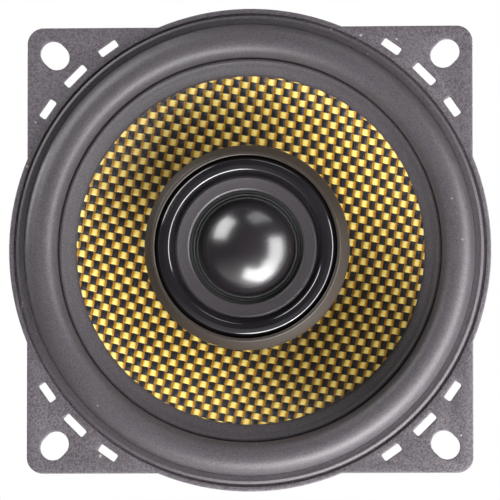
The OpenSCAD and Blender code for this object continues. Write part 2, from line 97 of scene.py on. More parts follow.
# %% [markdown]
# Most pieces of a speaker are turned, so most of them come from one helper that spins a closed
# outline round an axis. Real turned edges are never razor sharp, and it is the tiny rounding
# that catches the light, so a second helper rounds each corner of an outline before it is spun.
# A point on the axis is made once and shared, which closes a dome at its tip.

# %% Helpers for turned pieces
SHARP = math.radians(32)


def finish_mesh(bm, name, sharp=SHARP):
    bmesh.ops.recalc_face_normals(bm, faces=bm.faces)
    for face in bm.faces:
        face.smooth = True
    for edge in bm.edges:
        if len(edge.link_faces) == 2:
            edge.smooth = edge.calc_face_angle(0.0) < sharp
    mesh = bpy.data.meshes.new(name)
    bm.to_mesh(mesh)
    bm.free()
    piece = bpy.data.objects.new(name, mesh)
    bpy.context.scene.collection.objects.link(piece)
    return piece


def spin(outline, steps=256, put=facing, name="piece"):
    bm = bmesh.new()
    tips = {i: bm.verts.new(put(0, 0, z)) for i, (r, z) in enumerate(outline) if r < 1e-6}
    rings = []
    for k in range(steps):
        c, s = math.cos(2 * math.pi * k / steps), math.sin(2 * math.pi * k / steps)
        rings.append([tips.get(i) or bm.verts.new(put(r * c, r * s, z))
                      for i, (r, z) in enumerate(outline)])
    for k in range(steps):
        here, there = rings[k], rings[(k + 1) % steps]
        for i in range(len(outline)):
            j = (i + 1) % len(outline)
            corners = list(dict.fromkeys((here[i], here[j], there[j], there[i])))
            if len(corners) > 2:
                bm.faces.new(corners)
    return finish_mesh(bm, name)


def rounded(outline, radius, steps=4):
    points = [Vector(p) for p in outline]
    result = []
    for i, p in enumerate(points):
        before, after = points[i - 1] - p, points[(i + 1) % len(points)] - p
        if before.length < 1e-6 or after.length < 1e-6:
            continue
        half = before.angle(after, math.pi) / 2
        if half > math.radians(80) or half < math.radians(5) or p.x < 1e-6:
            result.append(tuple(p))
            continue
        reach = min(radius / math.tan(half), 0.45 * before.length, 0.45 * after.length)
        start, end = p + before.normalized() * reach, p + after.normalized() * reach
        for k in range(steps + 1):
            t = k / steps
            result.append(tuple((1 - t) ** 2 * start + 2 * t * (1 - t) * p + t * t * end))
    return result


def arc(centre, radius, start, end, steps):
    angles = [math.radians(start + (end - start) * k / steps) for k in range(steps + 1)]
    return [(centre[0] + radius * math.cos(a), centre[1] + radius * math.sin(a))
            for a in angles]


# %% [markdown]
# Pieces that were stamped, cast or cut keep the frame's own shape, because their holes and
# slots are already right. A copy of the node's mesh has its flat areas cleaned, and every hard
# edge gets a small rounded bevel. Each new piece then moves with its body and takes its finish,
# and the frame nodes it replaces are hidden.

# %% Helpers for refined and adopted pieces


def refined(node, bevel, segments=3, name=None, dissolve=0.6):
    bm = bmesh.new()
    bm.from_mesh(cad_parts[node].data)
    bmesh.ops.remove_doubles(bm, verts=bm.verts, dist=2e-6)
    bmesh.ops.dissolve_limit(bm, angle_limit=math.radians(dissolve), verts=bm.verts,
                             edges=bm.edges)
    hard = [e for e in bm.edges if len(e.link_faces) == 2 and e.calc_face_angle(0.0) > SHARP]
    bmesh.ops.bevel(bm, geom=hard, offset=bevel * MM, segments=segments, profile=0.5,
                    affect="EDGES", clamp_overlap=False, loop_slide=True)
    return finish_mesh(bm, name or node + "_fine")


def adopt(piece, body, slot, material, *nodes):
    piece.data.materials.clear()
    piece.data.materials.append(material)
    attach(piece, body)
    if nodes:
        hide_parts(*nodes)
    return piece


# %% [markdown]
# Materials are built from shader nodes. A short helper adds a node, fills in its numbers and
# plugs in its links, which keeps the recipes below readable. Effects that several finishes
# share become node groups with named inputs and outputs, each built once.

# %% Helpers for shader nodes


def add(tree, kind, inputs=None, **settings):
    node = tree.nodes.new(kind)
    for key, value in settings.items():
        setattr(node, key, value)
    for key, value in (inputs or {}).items():
        socket = node.inputs[key]
        if isinstance(value, bpy.types.NodeSocket):
            tree.links.new(value, socket)
        else:
            socket.default_value = value
    return node


def maths(tree, operation, a, b=0.0, c=0.0, clamp=False):
    node = add(tree, "ShaderNodeMath", {0: a, 1: b, 2: c}, operation=operation,
               use_clamp=clamp)
    return node.outputs[0]


def ramp(tree, value, *stops):
    node = add(tree, "ShaderNodeValToRGB", {"Fac": value})
    while len(node.color_ramp.elements) < len(stops):
        node.color_ramp.elements.new(0.5)
    for element, (place, colour) in zip(node.color_ramp.elements, stops):
        element.position = place
        element.color = (*colour, 1.0)
    return node.outputs["Color"]


def blend_colours(tree, share, a, b, kind="MIX"):
    node = add(tree, "ShaderNodeMix", data_type="RGBA", blend_type=kind)
    sockets = {s.identifier: s for s in node.inputs}
    for key, value in (("Factor_Float", share), ("A_Color", a), ("B_Color", b)):
        if isinstance(value, bpy.types.NodeSocket):
            tree.links.new(value, sockets[key])
        else:
            sockets[key].default_value = (*value, 1.0) if isinstance(value, tuple) else value
    return next(s for s in node.outputs if s.identifier == "Result_Color")


def new_group(name, inputs, outputs):
    tree = bpy.data.node_groups.new(name, "ShaderNodeTree")
    for label, kind, default in inputs:
        socket = tree.interface.new_socket(label, in_out="INPUT", socket_type=kind)
        if default is not None:
            socket.default_value = default
    for label, kind in outputs:
        tree.interface.new_socket(label, in_out="OUTPUT", socket_type=kind)
    return tree, tree.nodes.new("NodeGroupInput"), tree.nodes.new("NodeGroupOutput")


def use(tree, group, **inputs):
    named = {key.replace("_", " "): value for key, value in inputs.items()}
    return add(tree, "ShaderNodeGroup", named, node_tree=group).outputs


def start_material(name, **sockets):
    material = bpy.data.materials.new(name)
    material.use_nodes = True
    shader = material.node_tree.nodes["Principled BSDF"]
    for key, value in sockets.items():
        shader.inputs[key.replace("_", " ")].default_value = value
    return material, material.node_tree, shader


def bump(tree, shader, height, strength, distance):
    node = add(tree, "ShaderNodeBump", {"Height": height, "Strength": strength,
                                        "Distance": distance * MM})
    tree.links.new(node.outputs["Normal"], shader.inputs["Normal"])


def uneven_gloss(tree, shader, mask, middle, width):
    """Roughness that a mask from 0 to 1 moves by a width about its middle."""
    rough = maths(tree, "MULTIPLY_ADD", mask, width, middle - width / 2)
    tree.links.new(rough, shader.inputs["Roughness"])


# %% [markdown]
# The first shared effect is grain. Powder paint, rubber, moulded plastic, ferrite and felt all
# have a fine irregular surface plus slow blotches, only at different sizes. The group takes
# the grain's size in millimetres and gives a height for bump and a blotch mask for colour.

# %% Group: grain
grain, given, result = new_group(
    "grain", [("Size", "NodeSocketFloat", 0.2)],
    [("Height", "NodeSocketFloat"), ("Blotch", "NodeSocketFloat"),
     ("Speck", "NodeSocketFloat")])
place = add(grain, "ShaderNodeTexCoord").outputs["Object"]
per_metre = maths(grain, "DIVIDE", 1 / MM, given.outputs["Size"])
fine = add(grain, "ShaderNodeTexNoise",
           {"Vector": place, "Scale": per_metre, "Detail": 3.0, "Roughness": 0.6})
cells = add(grain, "ShaderNodeTexVoronoi", {"Vector": place, "Scale": per_metre})
height = maths(grain, "MULTIPLY_ADD", fine.outputs["Fac"], 0.75,
               maths(grain, "MULTIPLY", cells.outputs["Distance"], 0.35))
slow = add(grain, "ShaderNodeTexNoise",
           {"Vector": place, "Scale": maths(grain, "MULTIPLY", per_metre, 0.03),
            "Detail": 4.0, "Roughness": 0.55})
dots = add(grain, "ShaderNodeTexVoronoi",
           {"Vector": place, "Scale": maths(grain, "MULTIPLY", per_metre, 0.06)})
speck = maths(grain, "LESS_THAN", dots.outputs["Distance"], 0.045)
grain.links.new(height, result.inputs["Height"])
grain.links.new(slow.outputs["Fac"], result.inputs["Blotch"])
grain.links.new(speck, result.inputs["Speck"])
print("group grain:", len(grain.nodes), "nodes")

# %% [markdown]
# The second effect is the fine circular lines that a lathe or a polishing wheel leaves on
# steel. They depend only on the distance from the speaker's axis, so the group measures that
# distance and turns it into waves that are slightly uneven.

# %% Group: turned lines
turned, given, result = new_group(
    "turned_lines", [("Pitch", "NodeSocketFloat", 0.25)],
    [("Height", "NodeSocketFloat"), ("Streak", "NodeSocketFloat")])
place = add(turned, "ShaderNodeTexCoord").outputs["Object"]
parts = add(turned, "ShaderNodeSeparateXYZ", {0: place}).outputs
across = add(turned, "ShaderNodeCombineXYZ", {"X": parts["X"], "Y": 0.0, "Z": parts["Z"]})
radius = add(turned, "ShaderNodeVectorMath", {0: across.outputs[0]}, operation="LENGTH")
turns = maths(turned, "DIVIDE", maths(turned, "MULTIPLY", radius.outputs["Value"], 1 / MM),
              given.outputs["Pitch"])
wobble = add(turned, "ShaderNodeTexNoise", {"W": turns, "Scale": 0.35, "Detail": 5.0},
             noise_dimensions="1D")
turned.links.new(maths(turned, "SINE", maths(turned, "MULTIPLY", turns, 2 * math.pi)),
                 result.inputs["Height"])
turned.links.new(wobble.outputs["Fac"], result.inputs["Streak"])
print("group turned_lines:", len(turned.nodes), "nodes")

# %% [markdown]
# The third effect is plain weave, in which each yarn passes over one crossing yarn and under
# the next. The cone, the spider's cloth and the tweeter's suspension all have it. Across a yarn
# the height is a rounded cap, and along it the height swings up and down once per crossing.
# Whichever yarn is higher is the one seen. The group gives that choice, the height, and a
# streaky noise along the visible yarn for its fibres.

# %% Group: plain weave
CAP = 0.55            # how much of the relief is a yarn's own round back
NO_YARN = -4.0        # height beside a yarn, below anything that can be seen
FIBRE_FINE, FIBRE_LONG = 14.0, 0.8    # fibre noise across and along a yarn
weave, given, result = new_group(
    "plain_weave",
    [("Place", "NodeSocketVector", None), ("Warp width", "NodeSocketFloat", 0.7),
     ("Weft width", "NodeSocketFloat", 0.85)],
    [("Warp on top", "NodeSocketFloat"), ("Height", "NodeSocketFloat"),
     ("Fibres", "NodeSocketFloat"), ("Weft swing", "NodeSocketFloat")])
parts = add(weave, "ShaderNodeSeparateXYZ", {0: given.outputs["Place"]}).outputs
column, row = maths(weave, "FLOOR", parts["X"]), maths(weave, "FLOOR", parts["Y"])
odd = maths(weave, "PINGPONG", maths(weave, "ADD", column, row), 1.0)
sign = maths(weave, "MULTIPLY_ADD", odd, -2.0, 1.0)


def yarn_height(tree, beside, along, width, direction):
    """Height of one yarn: beside runs across it and along runs down it, both in yarns."""
    off = maths(tree, "SUBTRACT", maths(tree, "FRACT", beside), 0.5)
    p = maths(tree, "DIVIDE", maths(tree, "MULTIPLY", off, 2.0), width)
    inside = maths(tree, "SUBTRACT", 1.0, maths(tree, "MULTIPLY", p, p), clamp=True)
    cap = maths(tree, "MULTIPLY", maths(tree, "SQRT", inside), CAP)
    there = maths(tree, "GREATER_THAN", inside, 0.0001)
    swing = maths(tree, "COSINE", maths(tree, "MULTIPLY", maths(
        tree, "SUBTRACT", maths(tree, "FRACT", along), 0.5), math.pi))
    swing = maths(tree, "MULTIPLY", swing, direction)
    total = maths(tree, "ADD", cap, swing)
    missing = maths(tree, "MULTIPLY", maths(tree, "SUBTRACT", 1.0, there), NO_YARN)
    return maths(tree, "ADD", total, missing)


warp_high = yarn_height(weave, parts["X"], parts["Y"], given.outputs["Warp width"], sign)
weft_high = yarn_height(weave, parts["Y"], parts["X"], given.outputs["Weft width"],
                        maths(weave, "MULTIPLY", sign, -1.0))
on_top = maths(weave, "GREATER_THAN", warp_high, weft_high)
highest = maths(weave, "MAXIMUM", warp_high, weft_high)
stretch_warp = add(weave, "ShaderNodeVectorMath",
                   {0: given.outputs["Place"], 1: (FIBRE_FINE, FIBRE_LONG, 1.0)}, operation="MULTIPLY")
stretch_weft = add(weave, "ShaderNodeVectorMath",
                   {0: given.outputs["Place"], 1: (FIBRE_LONG, FIBRE_FINE, 1.0)}, operation="MULTIPLY")
fibres = [add(weave, "ShaderNodeTexNoise", {"Vector": v.outputs[0], "Scale": 1.0,
                                            "Detail": 3.0, "Roughness": 0.6})
          for v in (stretch_warp, stretch_weft)]
shown = maths(weave, "ADD", maths(weave, "MULTIPLY", fibres[0].outputs["Fac"], on_top),
              maths(weave, "MULTIPLY", fibres[1].outputs["Fac"],
                    maths(weave, "SUBTRACT", 1.0, on_top)))
weave.links.new(on_top, result.inputs["Warp on top"])
weave.links.new(maths(weave, "MAXIMUM", highest, -1.0), result.inputs["Height"])
weave.links.new(shown, result.inputs["Fibres"])
beside_warp = maths(weave, "SUBTRACT", maths(weave, "FRACT", parts["X"]), 0.5)
weft_swing = maths(weave, "MULTIPLY", sign, maths(
    weave, "COSINE", maths(weave, "MULTIPLY", beside_warp, math.pi)))
weave.links.new(maths(weave, "MULTIPLY", weft_swing, -1.0), result.inputs["Weft swing"])
print("group plain_weave:", len(weave.nodes), "nodes")

# %% [markdown]
# Now the finishes. Paint, rubber, plastic, ferrite, felt and glue differ only in colour, gloss
# and grain, so one recipe makes them all: grain drives the bump, and blotches vary the colour
# and the roughness a little, as they do on real parts. The numbers after the two colours are
# the roughness, the grain's size and its depth, both in millimetres.

# %% Finishes with grain
DUST = (0.62, 0.6, 0.57)


def grained(name, dark, light, roughness, size, depth, blotch=0.08, dust=0.0, **sockets):
    material, tree, shader = start_material(name, **sockets)
    out = use(tree, grain, Size=size)
    tone = ramp(tree, out["Height"], (0.36, dark), (0.66, light))
    tone = blend_colours(tree, maths(tree, "MULTIPLY", out["Blotch"], 0.5), tone, light)
    if dust:
        tone = blend_colours(tree, maths(tree, "MULTIPLY", out["Speck"], dust), tone, DUST)
    tree.links.new(tone, shader.inputs["Base Color"])
    uneven_gloss(tree, shader, out["Blotch"], roughness, blotch)
    bump(tree, shader, out["Height"], 0.6, depth)
    return material


paint = grained("frame_paint", (0.024, 0.020, 0.024), (0.110, 0.097, 0.111), 0.48, 0.42,
                0.12, dust=0.35, Specular_IOR_Level=0.5)
rubber = grained("surround_rubber", (0.019, 0.016, 0.019), (0.074, 0.065, 0.074), 0.46, 0.30,
                 0.05, dust=0.2, Specular_IOR_Level=0.55)
pod_plastic = grained("pod_plastic", (0.011, 0.008, 0.006), (0.034, 0.025, 0.019), 0.48, 0.22,
                      0.02)
face_paint = grained("faceplate_satin", (0.018, 0.015, 0.018), (0.050, 0.044, 0.050), 0.36,
                     0.22, 0.03)
# Dark plastic: real black plastic on the post's sleeve, and painted shade on the faceplate's recessed
# lip.
black_plastic = grained("black_plastic", (0.018, 0.018, 0.019), (0.028, 0.028, 0.03), 0.5,
                        0.15, 0.015)
ferrite = grained("ferrite", (0.022, 0.022, 0.025), (0.045, 0.045, 0.050), 0.5, 0.16, 0.03,
                  blotch=0.2)
felt = grained("felt", (0.16, 0.15, 0.14), (0.26, 0.25, 0.23), 0.9, 0.25, 0.12,
               Sheen_Weight=0.3)
glue_black = grained("black_adhesive", (0.012, 0.012, 0.012), (0.03, 0.03, 0.03), 0.25, 0.8,
                     0.03)
hot_glue = grained("hot_glue", (0.55, 0.47, 0.30), (0.72, 0.64, 0.46), 0.3, 0.9, 0.05,
                   Subsurface_Weight=0.3, Subsurface_Scale=0.002)
red_pvc = grained("red_insulation", (0.42, 0.018, 0.012), (0.55, 0.03, 0.02), 0.38, 0.3,
                  0.008)
black_pvc = grained("black_insulation", (0.014, 0.014, 0.015), (0.026, 0.026, 0.028), 0.4,
                    0.3, 0.008)
print("grained finishes made")

# %% [markdown]
# The pod's plastic is matt on the sloped side and polished on the rim, where the mould is
# smoother. The distance from the speaker's axis tells the two apart, and fades a clear coat in
# over the last fraction of a millimetre.

# %% Polished rim of the pod
RIM_TO, SIDE_FROM = 19.4 * MM, 19.8 * MM      # all polished within, all matt beyond
RIM_COAT = 0.8
tree, shader = pod_plastic.node_tree, pod_plastic.node_tree.nodes["Principled BSDF"]
place = add(tree, "ShaderNodeTexCoord").outputs["Object"]
from_axis = add(tree, "ShaderNodeVectorMath", {0: place, 1: (1, 0, 1)}, operation="MULTIPLY")
from_axis = add(tree, "ShaderNodeVectorMath", {0: from_axis.outputs[0]}, operation="LENGTH")
edge = add(tree, "ShaderNodeMapRange", {"Value": from_axis.outputs["Value"],
                                        "From Min": SIDE_FROM, "From Max": RIM_TO})
tree.links.new(maths(tree, "MULTIPLY", edge.outputs["Result"], RIM_COAT),
               shader.inputs["Coat Weight"])
shader.inputs["Coat Roughness"].default_value = 0.2
print("pod rim polished within %.1f mm" % (RIM_TO / MM))

# %% [markdown]
# Metals come next. Zinc-plated steel shows the turning lines and a faint bloom of colour,
# brass and tin are smoother, and enamelled copper wire lies in turns beside each other, its
# colour darkened between the turns as painted shade. The lines come from the shared group, and
# the tint from its streaks and from slow blotches.

# %% Metal finishes
WEAR = 0.12                # how much the streaks change the roughness
WIRE_PITCH = 0.22 * MM     # between the turns of a winding


def metal(name, low, high, roughness, pitch, depth):
    material, tree, shader = start_material(name, Metallic=1.0)
    lines = use(tree, turned, Pitch=pitch)
    out = use(tree, grain, Size=0.35)
    mixed = maths(tree, "MULTIPLY", maths(tree, "ADD", lines["Streak"], out["Blotch"]), 0.5)
    tree.links.new(ramp(tree, mixed, (0.32, low), (0.68, high)), shader.inputs["Base Color"])
    uneven_gloss(tree, shader, lines["Streak"], roughness, WEAR)
    total = maths(tree, "ADD", maths(tree, "MULTIPLY", lines["Height"], 0.5),
                  maths(tree, "MULTIPLY", out["Height"], 0.5))
    bump(tree, shader, total, 0.35, depth)
    return material


steel = metal("plated_steel", (0.40, 0.39, 0.37), (0.60, 0.60, 0.60), 0.34, 0.3, 0.012)
tin = metal("tinned_brass", (0.62, 0.61, 0.58), (0.80, 0.79, 0.77), 0.24, 1.5, 0.006)
brass = metal("brass", (0.48, 0.32, 0.10), (0.68, 0.48, 0.18), 0.3, 0.8, 0.008)
nickel = metal("magnet_nickel", (0.58, 0.56, 0.52), (0.72, 0.70, 0.66), 0.18, 0.6, 0.004)
solder = metal("solder", (0.50, 0.50, 0.50), (0.70, 0.70, 0.70), 0.3, 4.0, 0.01)

copper, tree, shader = start_material("copper_winding", Metallic=0.9, Roughness=0.28,
                                      Coat_Weight=0.6, Coat_Roughness=0.15)
place = add(tree, "ShaderNodeTexCoord").outputs["Object"]
depth_in = add(tree, "ShaderNodeSeparateXYZ", {0: place}).outputs["Y"]
turn = maths(tree, "MULTIPLY", depth_in, math.pi / WIRE_PITCH)
wire_round_and_gap_shade = maths(tree, "ABSOLUTE", maths(tree, "SINE", turn))
# Painted shade: the copper goes nearly black in the grooves between turns and keeps its own colour on
# each wire's round.
tree.links.new(ramp(tree, wire_round_and_gap_shade, (0.0, (0.10, 0.02, 0.01)), (0.5, (0.48, 0.17, 0.06))),
               shader.inputs["Base Color"])
bump(tree, shader, wire_round_and_gap_shade, 0.8, 0.08)
print("metal finishes made")

# %% [markdown]
# Four finishes stay smooth: the glossy trim ring, the coated dome, the capacitor's shrunk
# sleeve and the amber film of the coil's former. A perfect gloss looks false, so each has a
# very faint waviness and slow blotches in its colour and roughness.

# %% Glossy finishes


def glossy(name, dark, light, roughness, level, coat, coat_roughness):
    material, tree, shader = start_material(
        name, Specular_IOR_Level=level, Coat_Weight=coat, Coat_Roughness=coat_roughness)
    out = use(tree, grain, Size=0.5)
    tree.links.new(ramp(tree, out["Blotch"], (0.35, dark), (0.65, light)),
                   shader.inputs["Base Color"])
    uneven_gloss(tree, shader, out["Blotch"], roughness, 0.06)
    bump(tree, shader, out["Height"], 0.12, 0.006)
    return material


trim_gloss = glossy("trim_gloss", (0.008, 0.007, 0.009), (0.013, 0.011, 0.014), 0.14, 0.8,
                    0.6, 0.08)
dome_gloss = glossy("dome_gloss", (0.009, 0.007, 0.009), (0.015, 0.012, 0.015), 0.27, 1.0,
                    0.3, 0.2)
sleeve = glossy("capacitor_sleeve", (0.012, 0.035, 0.16), (0.02, 0.05, 0.22), 0.28, 0.5,
                0.5, 0.12)
amber = glossy("former_film", (0.42, 0.20, 0.04), (0.55, 0.30, 0.07), 0.25, 0.5, 0.3, 0.1)
print("glossy finishes made")

# %% [markdown]
# Cloth finishes use the weave group. The cone has broad yellow and black yarns under clear
# resin, at places that its mesh carries as a map of yarns. A yellow yarn has three tones that
# follow its swing: deep orange where it dives under the next one, which is painted shade, its
# plain yellow between, and palest on its crest, which is a painted highlight. The spider is fine
# cotton stiffened with amber resin, and the tweeter's suspension is finer still and coated black.

# %% Cloth finishes
WARP_WIDTH, WEFT_WIDTH = 0.74, 0.84      # of the distance between yarns

woven, tree, shader = start_material("woven_cone", Coat_Weight=0.22, Coat_Roughness=0.25,
                                     Specular_IOR_Level=0.55)
yarns = add(tree, "ShaderNodeUVMap", uv_map="yarns").outputs["UV"]
cloth = use(tree, weave, Place=yarns, Warp_width=WARP_WIDTH, Weft_width=WEFT_WIDTH)
bright = ramp(tree, cloth["Fibres"], (0.30, (0.50, 0.30, 0.02)), (0.5, (0.78, 0.54, 0.06)),
              (0.72, (1.0, 0.80, 0.20)))
# Painted shade: deep orange where the yellow yarn dives under its neighbour.
painted_dip_shade = ramp(tree, cloth["Fibres"], (0.30, (0.26, 0.10, 0.004)), (0.7, (0.52, 0.26, 0.015)))
# The painted shade fades out as the yarn rises out of the dip.
raised = add(tree, "ShaderNodeMapRange", {"Value": cloth["Weft swing"], "From Min": 0.30,
                                          "From Max": 0.62}, interpolation_type="SMOOTHSTEP")
# Painted highlight: pale cream on the crest of the yellow yarn.
painted_crest_highlight = add(tree, "ShaderNodeMapRange", {"Value": cloth["Weft swing"], "From Min": 0.60,
                                         "From Max": 0.97, "To Max": 0.65},
            interpolation_type="SMOOTHSTEP")
gold_with_painted_light = blend_colours(tree, raised.outputs["Result"], painted_dip_shade, bright)
gold_with_painted_light = blend_colours(tree, painted_crest_highlight.outputs["Result"], gold_with_painted_light, (1.0, 0.88, 0.34))
coal = ramp(tree, cloth["Fibres"], (0.35, (0.004, 0.004, 0.006)), (0.7, (0.030, 0.031, 0.040)))
tree.links.new(blend_colours(tree, cloth["Warp on top"], gold_with_painted_light, coal),
               shader.inputs["Base Color"])
uneven_gloss(tree, shader, cloth["Fibres"], 0.39, 0.3)
bump(tree, shader, cloth["Fibres"], 0.7, 0.08)


def fine_cloth(name, thread, warp, weft, roughness, depth, **sockets):
    material, tree, shader = start_material(name, Roughness=roughness, **sockets)
    place = add(tree, "ShaderNodeTexCoord").outputs["Object"]
    parts = add(tree, "ShaderNodeSeparateXYZ", {0: place}).outputs
    flat = add(tree, "ShaderNodeCombineXYZ", {"X": parts["X"], "Y": parts["Z"], "Z": 0.0})
    threads = add(tree, "ShaderNodeVectorMath", {0: flat.outputs[0], "Scale": 1 / (thread * MM)},
                  operation="SCALE")
    cloth = use(tree, weave, Place=threads.outputs[0], Warp_width=0.8, Weft_width=0.8)
    blotch = use(tree, grain, Size=0.6)
    warp_tone = ramp(tree, blotch["Blotch"], (0.3, warp[0]), (0.7, warp[1]))
    weft_tone = ramp(tree, blotch["Blotch"], (0.3, weft[0]), (0.7, weft[1]))
    tree.links.new(blend_colours(tree, cloth["Warp on top"], weft_tone, warp_tone),
                   shader.inputs["Base Color"])
    bump(tree, shader, cloth["Height"], 0.7, depth)
    return material


spider_cloth = fine_cloth("spider_cloth", 0.55, ((0.30, 0.15, 0.035), (0.42, 0.23, 0.07)),
                          ((0.38, 0.20, 0.05), (0.52, 0.31, 0.10)), 0.6, 0.06)
coated_cloth = fine_cloth("suspension_cloth", 0.16, ((0.012, 0.012, 0.013), (0.02, 0.02, 0.02)),
                          ((0.015, 0.015, 0.016), (0.025, 0.025, 0.026)), 0.35, 0.015,
                          Coat_Weight=0.4, Coat_Roughness=0.2)
print("cloth finishes made")

# %% [markdown]
# Two more: the terminal board is brown phenolic paper, which shows faint layered fibres, and
# the braided leads are bare copper strands under a thin skin of tin.

# %% Board and braid
board_brown = grained("phenolic_board", (0.13, 0.055, 0.018), (0.20, 0.095, 0.035), 0.45, 0.5,
                      0.015, Coat_Weight=0.2)
braid = metal("tinsel_braid", (0.50, 0.28, 0.16), (0.72, 0.46, 0.28), 0.35, 0.9, 0.01)
print("board and braid finishes made")

# %% [markdown]
# The basket is one casting: the square-eared flange, the wall that passes the panel's cut-out,
# four ribbed legs and the cup that holds the motor. Its shape is already right in the frame,
# so it is refined: flat areas are cleaned and each hard edge is rounded as thick paint rounds
# it.

# %% Basket
basket = adopt(refined("basket", 0.22), "frame", "frame_paint", paint, "basket")
print("basket:", len(basket.data.vertices), "points")

# %% [markdown]
# The cone is moulded from a woven sheet. Its front surface is part of a flared curve: steep at
# the neck and flatter at the edge. Two named points and the amount of flare fix that curve, the
# same way as the frame does it.

# %% The cone's curve
cone_r, _, edge_z = outline_of("cone")
NECK_R, NECK_Z, CONE_T, FLARE = 12.75, -16.0, 0.6, 16.0
neck, edge = Vector((NECK_R, NECK_Z)), Vector((cone_r, edge_z))
chord = (edge - neck).length
bow = chord / 2 / math.sin(math.radians(FLARE / 2))
bow_centre = (neck + edge) / 2 + Vector((edge.y - neck.y, neck.x - edge.x)) / chord * (
    bow * math.cos(math.radians(FLARE / 2)))


def cone_z(r):
    return bow_centre.y + np.sqrt(bow ** 2 - (np.asarray(r) - bow_centre.x) ** 2)


print("cone height at 20, 30, 39 mm:", np.round(cone_z([20, 30, 39]), 2))

# %% [markdown]
# The weave could be painted on, but its relief is what makes it glitter, so it is real
# geometry. The sheet is a grid that follows the yarns, with several points across each yarn,
# laid over the cone. Moulding stretches the sheet a little along the radius, and the sheet
# lies turned by a few degrees. Every point is lifted by the height of whichever yarn is on
# top, and the rear face takes the opposite yarns, as in real cloth.

# %% Woven cone
WARP_PITCH, WEFT_PITCH = 1.80, 1.67      # distance between yarns, mm
SHEET_TURN = math.radians(-11.3)         # how far the sheet is turned
STRETCH, STRETCH_R = 0.10, 29.0          # how moulding spreads the yarns, and from where
PER_YARN = 8                             # grid steps across one yarn
RELIEF = 0.13                            # half height of the weave, mm
DEEPEST, SINK = -0.9, 0.4                # lowest gap and mean height, as parts of the relief
MARGIN = 1.06                            # how far the grid reaches past the cone's edge


def yarn_profile(beside, along, width, direction):
    p = 2 * (beside - np.floor(beside) - 0.5) / width
    cap = CAP * np.sqrt(np.clip(1 - p * p, 0, None))
    swing = direction * np.cos(np.pi * (along - np.floor(along) - 0.5))
    return np.where(np.abs(p) < 1, cap + swing, NO_YARN)


def weave_height(u, v, side):
    sign = side * (1 - 2 * ((np.floor(u) + np.floor(v)) % 2))
    high = np.maximum(yarn_profile(u, v, WARP_WIDTH, sign),
                      yarn_profile(v, u, WEFT_WIDTH, -sign))
    return RELIEF * np.clip(high, DEEPEST, None)


def over_cone(u, v):
    """Drawing place of a point of the sheet, from its yarn numbers."""
    qx, qy = u * WARP_PITCH, v * WEFT_PITCH
    q = np.hypot(qx, qy) + 1e-9
    r = (q * STRETCH_R ** STRETCH) ** (1 / (1 + STRETCH))
    c, s = math.cos(SHEET_TURN), math.sin(SHEET_TURN)
    return (qx * c - qy * s) * r / q, (qx * s + qy * c) * r / q, r


def woven_cone():
    across = math.ceil(cone_r * MARGIN / WARP_PITCH)
    down = math.ceil(cone_r * MARGIN / WEFT_PITCH)
    us = np.arange(-across * PER_YARN, across * PER_YARN + 1) / PER_YARN
    vs = np.arange(-down * PER_YARN, down * PER_YARN + 1) / PER_YARN
    u, v = np.meshgrid(us, vs, indexing="ij")
    x, y, r = over_cone(u, v)
    inside = (r > NECK_R) & (r < cone_r)
    cell = inside[:-1, :-1] | inside[1:, :-1] | inside[:-1, 1:] | inside[1:, 1:]
    kept = np.zeros_like(inside)
    for i, j in ((0, 0), (1, 0), (0, 1), (1, 1)):
        kept[i:i + cell.shape[0], j:j + cell.shape[1]] |= cell
    number = -np.ones(u.shape, int)
    number[kept] = np.arange(kept.sum())
    u, v, x, y, r = (a[kept] for a in (u, v, x, y, r))
    held = np.clip(r, NECK_R, cone_r)
    x, y = x * held / r, y * held / r
    slope = (bow_centre.x - held) / (cone_z(held) - bow_centre.y)
    lean = np.sqrt(1 + slope ** 2)
    sides = []
    for side, base in ((1, 0.0), (-1, -CONE_T)):
        lift = base + side * (weave_height(u, v, side) - RELIEF * SINK)
        rr = held - slope / lean * lift
        z = cone_z(held) + lift / lean
        sides.append(np.stack([x * rr / held, -z, y * rr / held], axis=1) * MM)
    return sides, number, cell, np.stack([u, v], axis=1)


def sheet_object(name, sides, number, cell, uv):
    count = len(uv)
    i, j = np.nonzero(cell)
    quads = np.stack([number[i, j], number[i + 1, j], number[i + 1, j + 1], number[i, j + 1]],
                     axis=1)
    edges = {}
    for a, b in zip(quads.ravel(), np.roll(quads, -1, axis=1).ravel()):
        edges[(a, b)] = (b, a) not in edges or edges.pop((b, a)) and None
    rim = [(a, b) for (a, b), alone in edges.items() if alone]
    walls = [(b, a, a + count, b + count) for a, b in rim]
    faces = quads.tolist() + (quads[:, ::-1] + count).tolist() + walls
    mesh = bpy.data.meshes.new(name)
    mesh.from_pydata(np.concatenate(sides).tolist(), [], faces)
    layer = mesh.uv_layers.new(name="yarns")
    corner = np.zeros(len(mesh.loops), int)
    mesh.loops.foreach_get("vertex_index", corner)
    uv_all = np.concatenate([uv, uv + [1.0, 0.0]])
    layer.data.foreach_set("uv", uv_all[corner].astype(np.float32).ravel())
    mesh.shade_smooth()
    mesh.validate()
    piece = bpy.data.objects.new(name, mesh)
    bpy.context.scene.collection.objects.link(piece)
    return piece


cone = adopt(sheet_object("woven_cone", *woven_cone()), "woofer", "woven_cone", woven, "cone")
print("cone:", len(cone.data.vertices), "points")

# %% [markdown]
# A ring of rubber joins the cone to the basket, and a ring of cloth does so further back. On
# the real speaker the inner edge of each follows the cone and the outer edge stays. The helper
# below lays a ring's points out by their distance from the axis, bakes the ring's place into
# its mesh and puts the points back, so the ring keeps its shape.

# %% Helper for rings


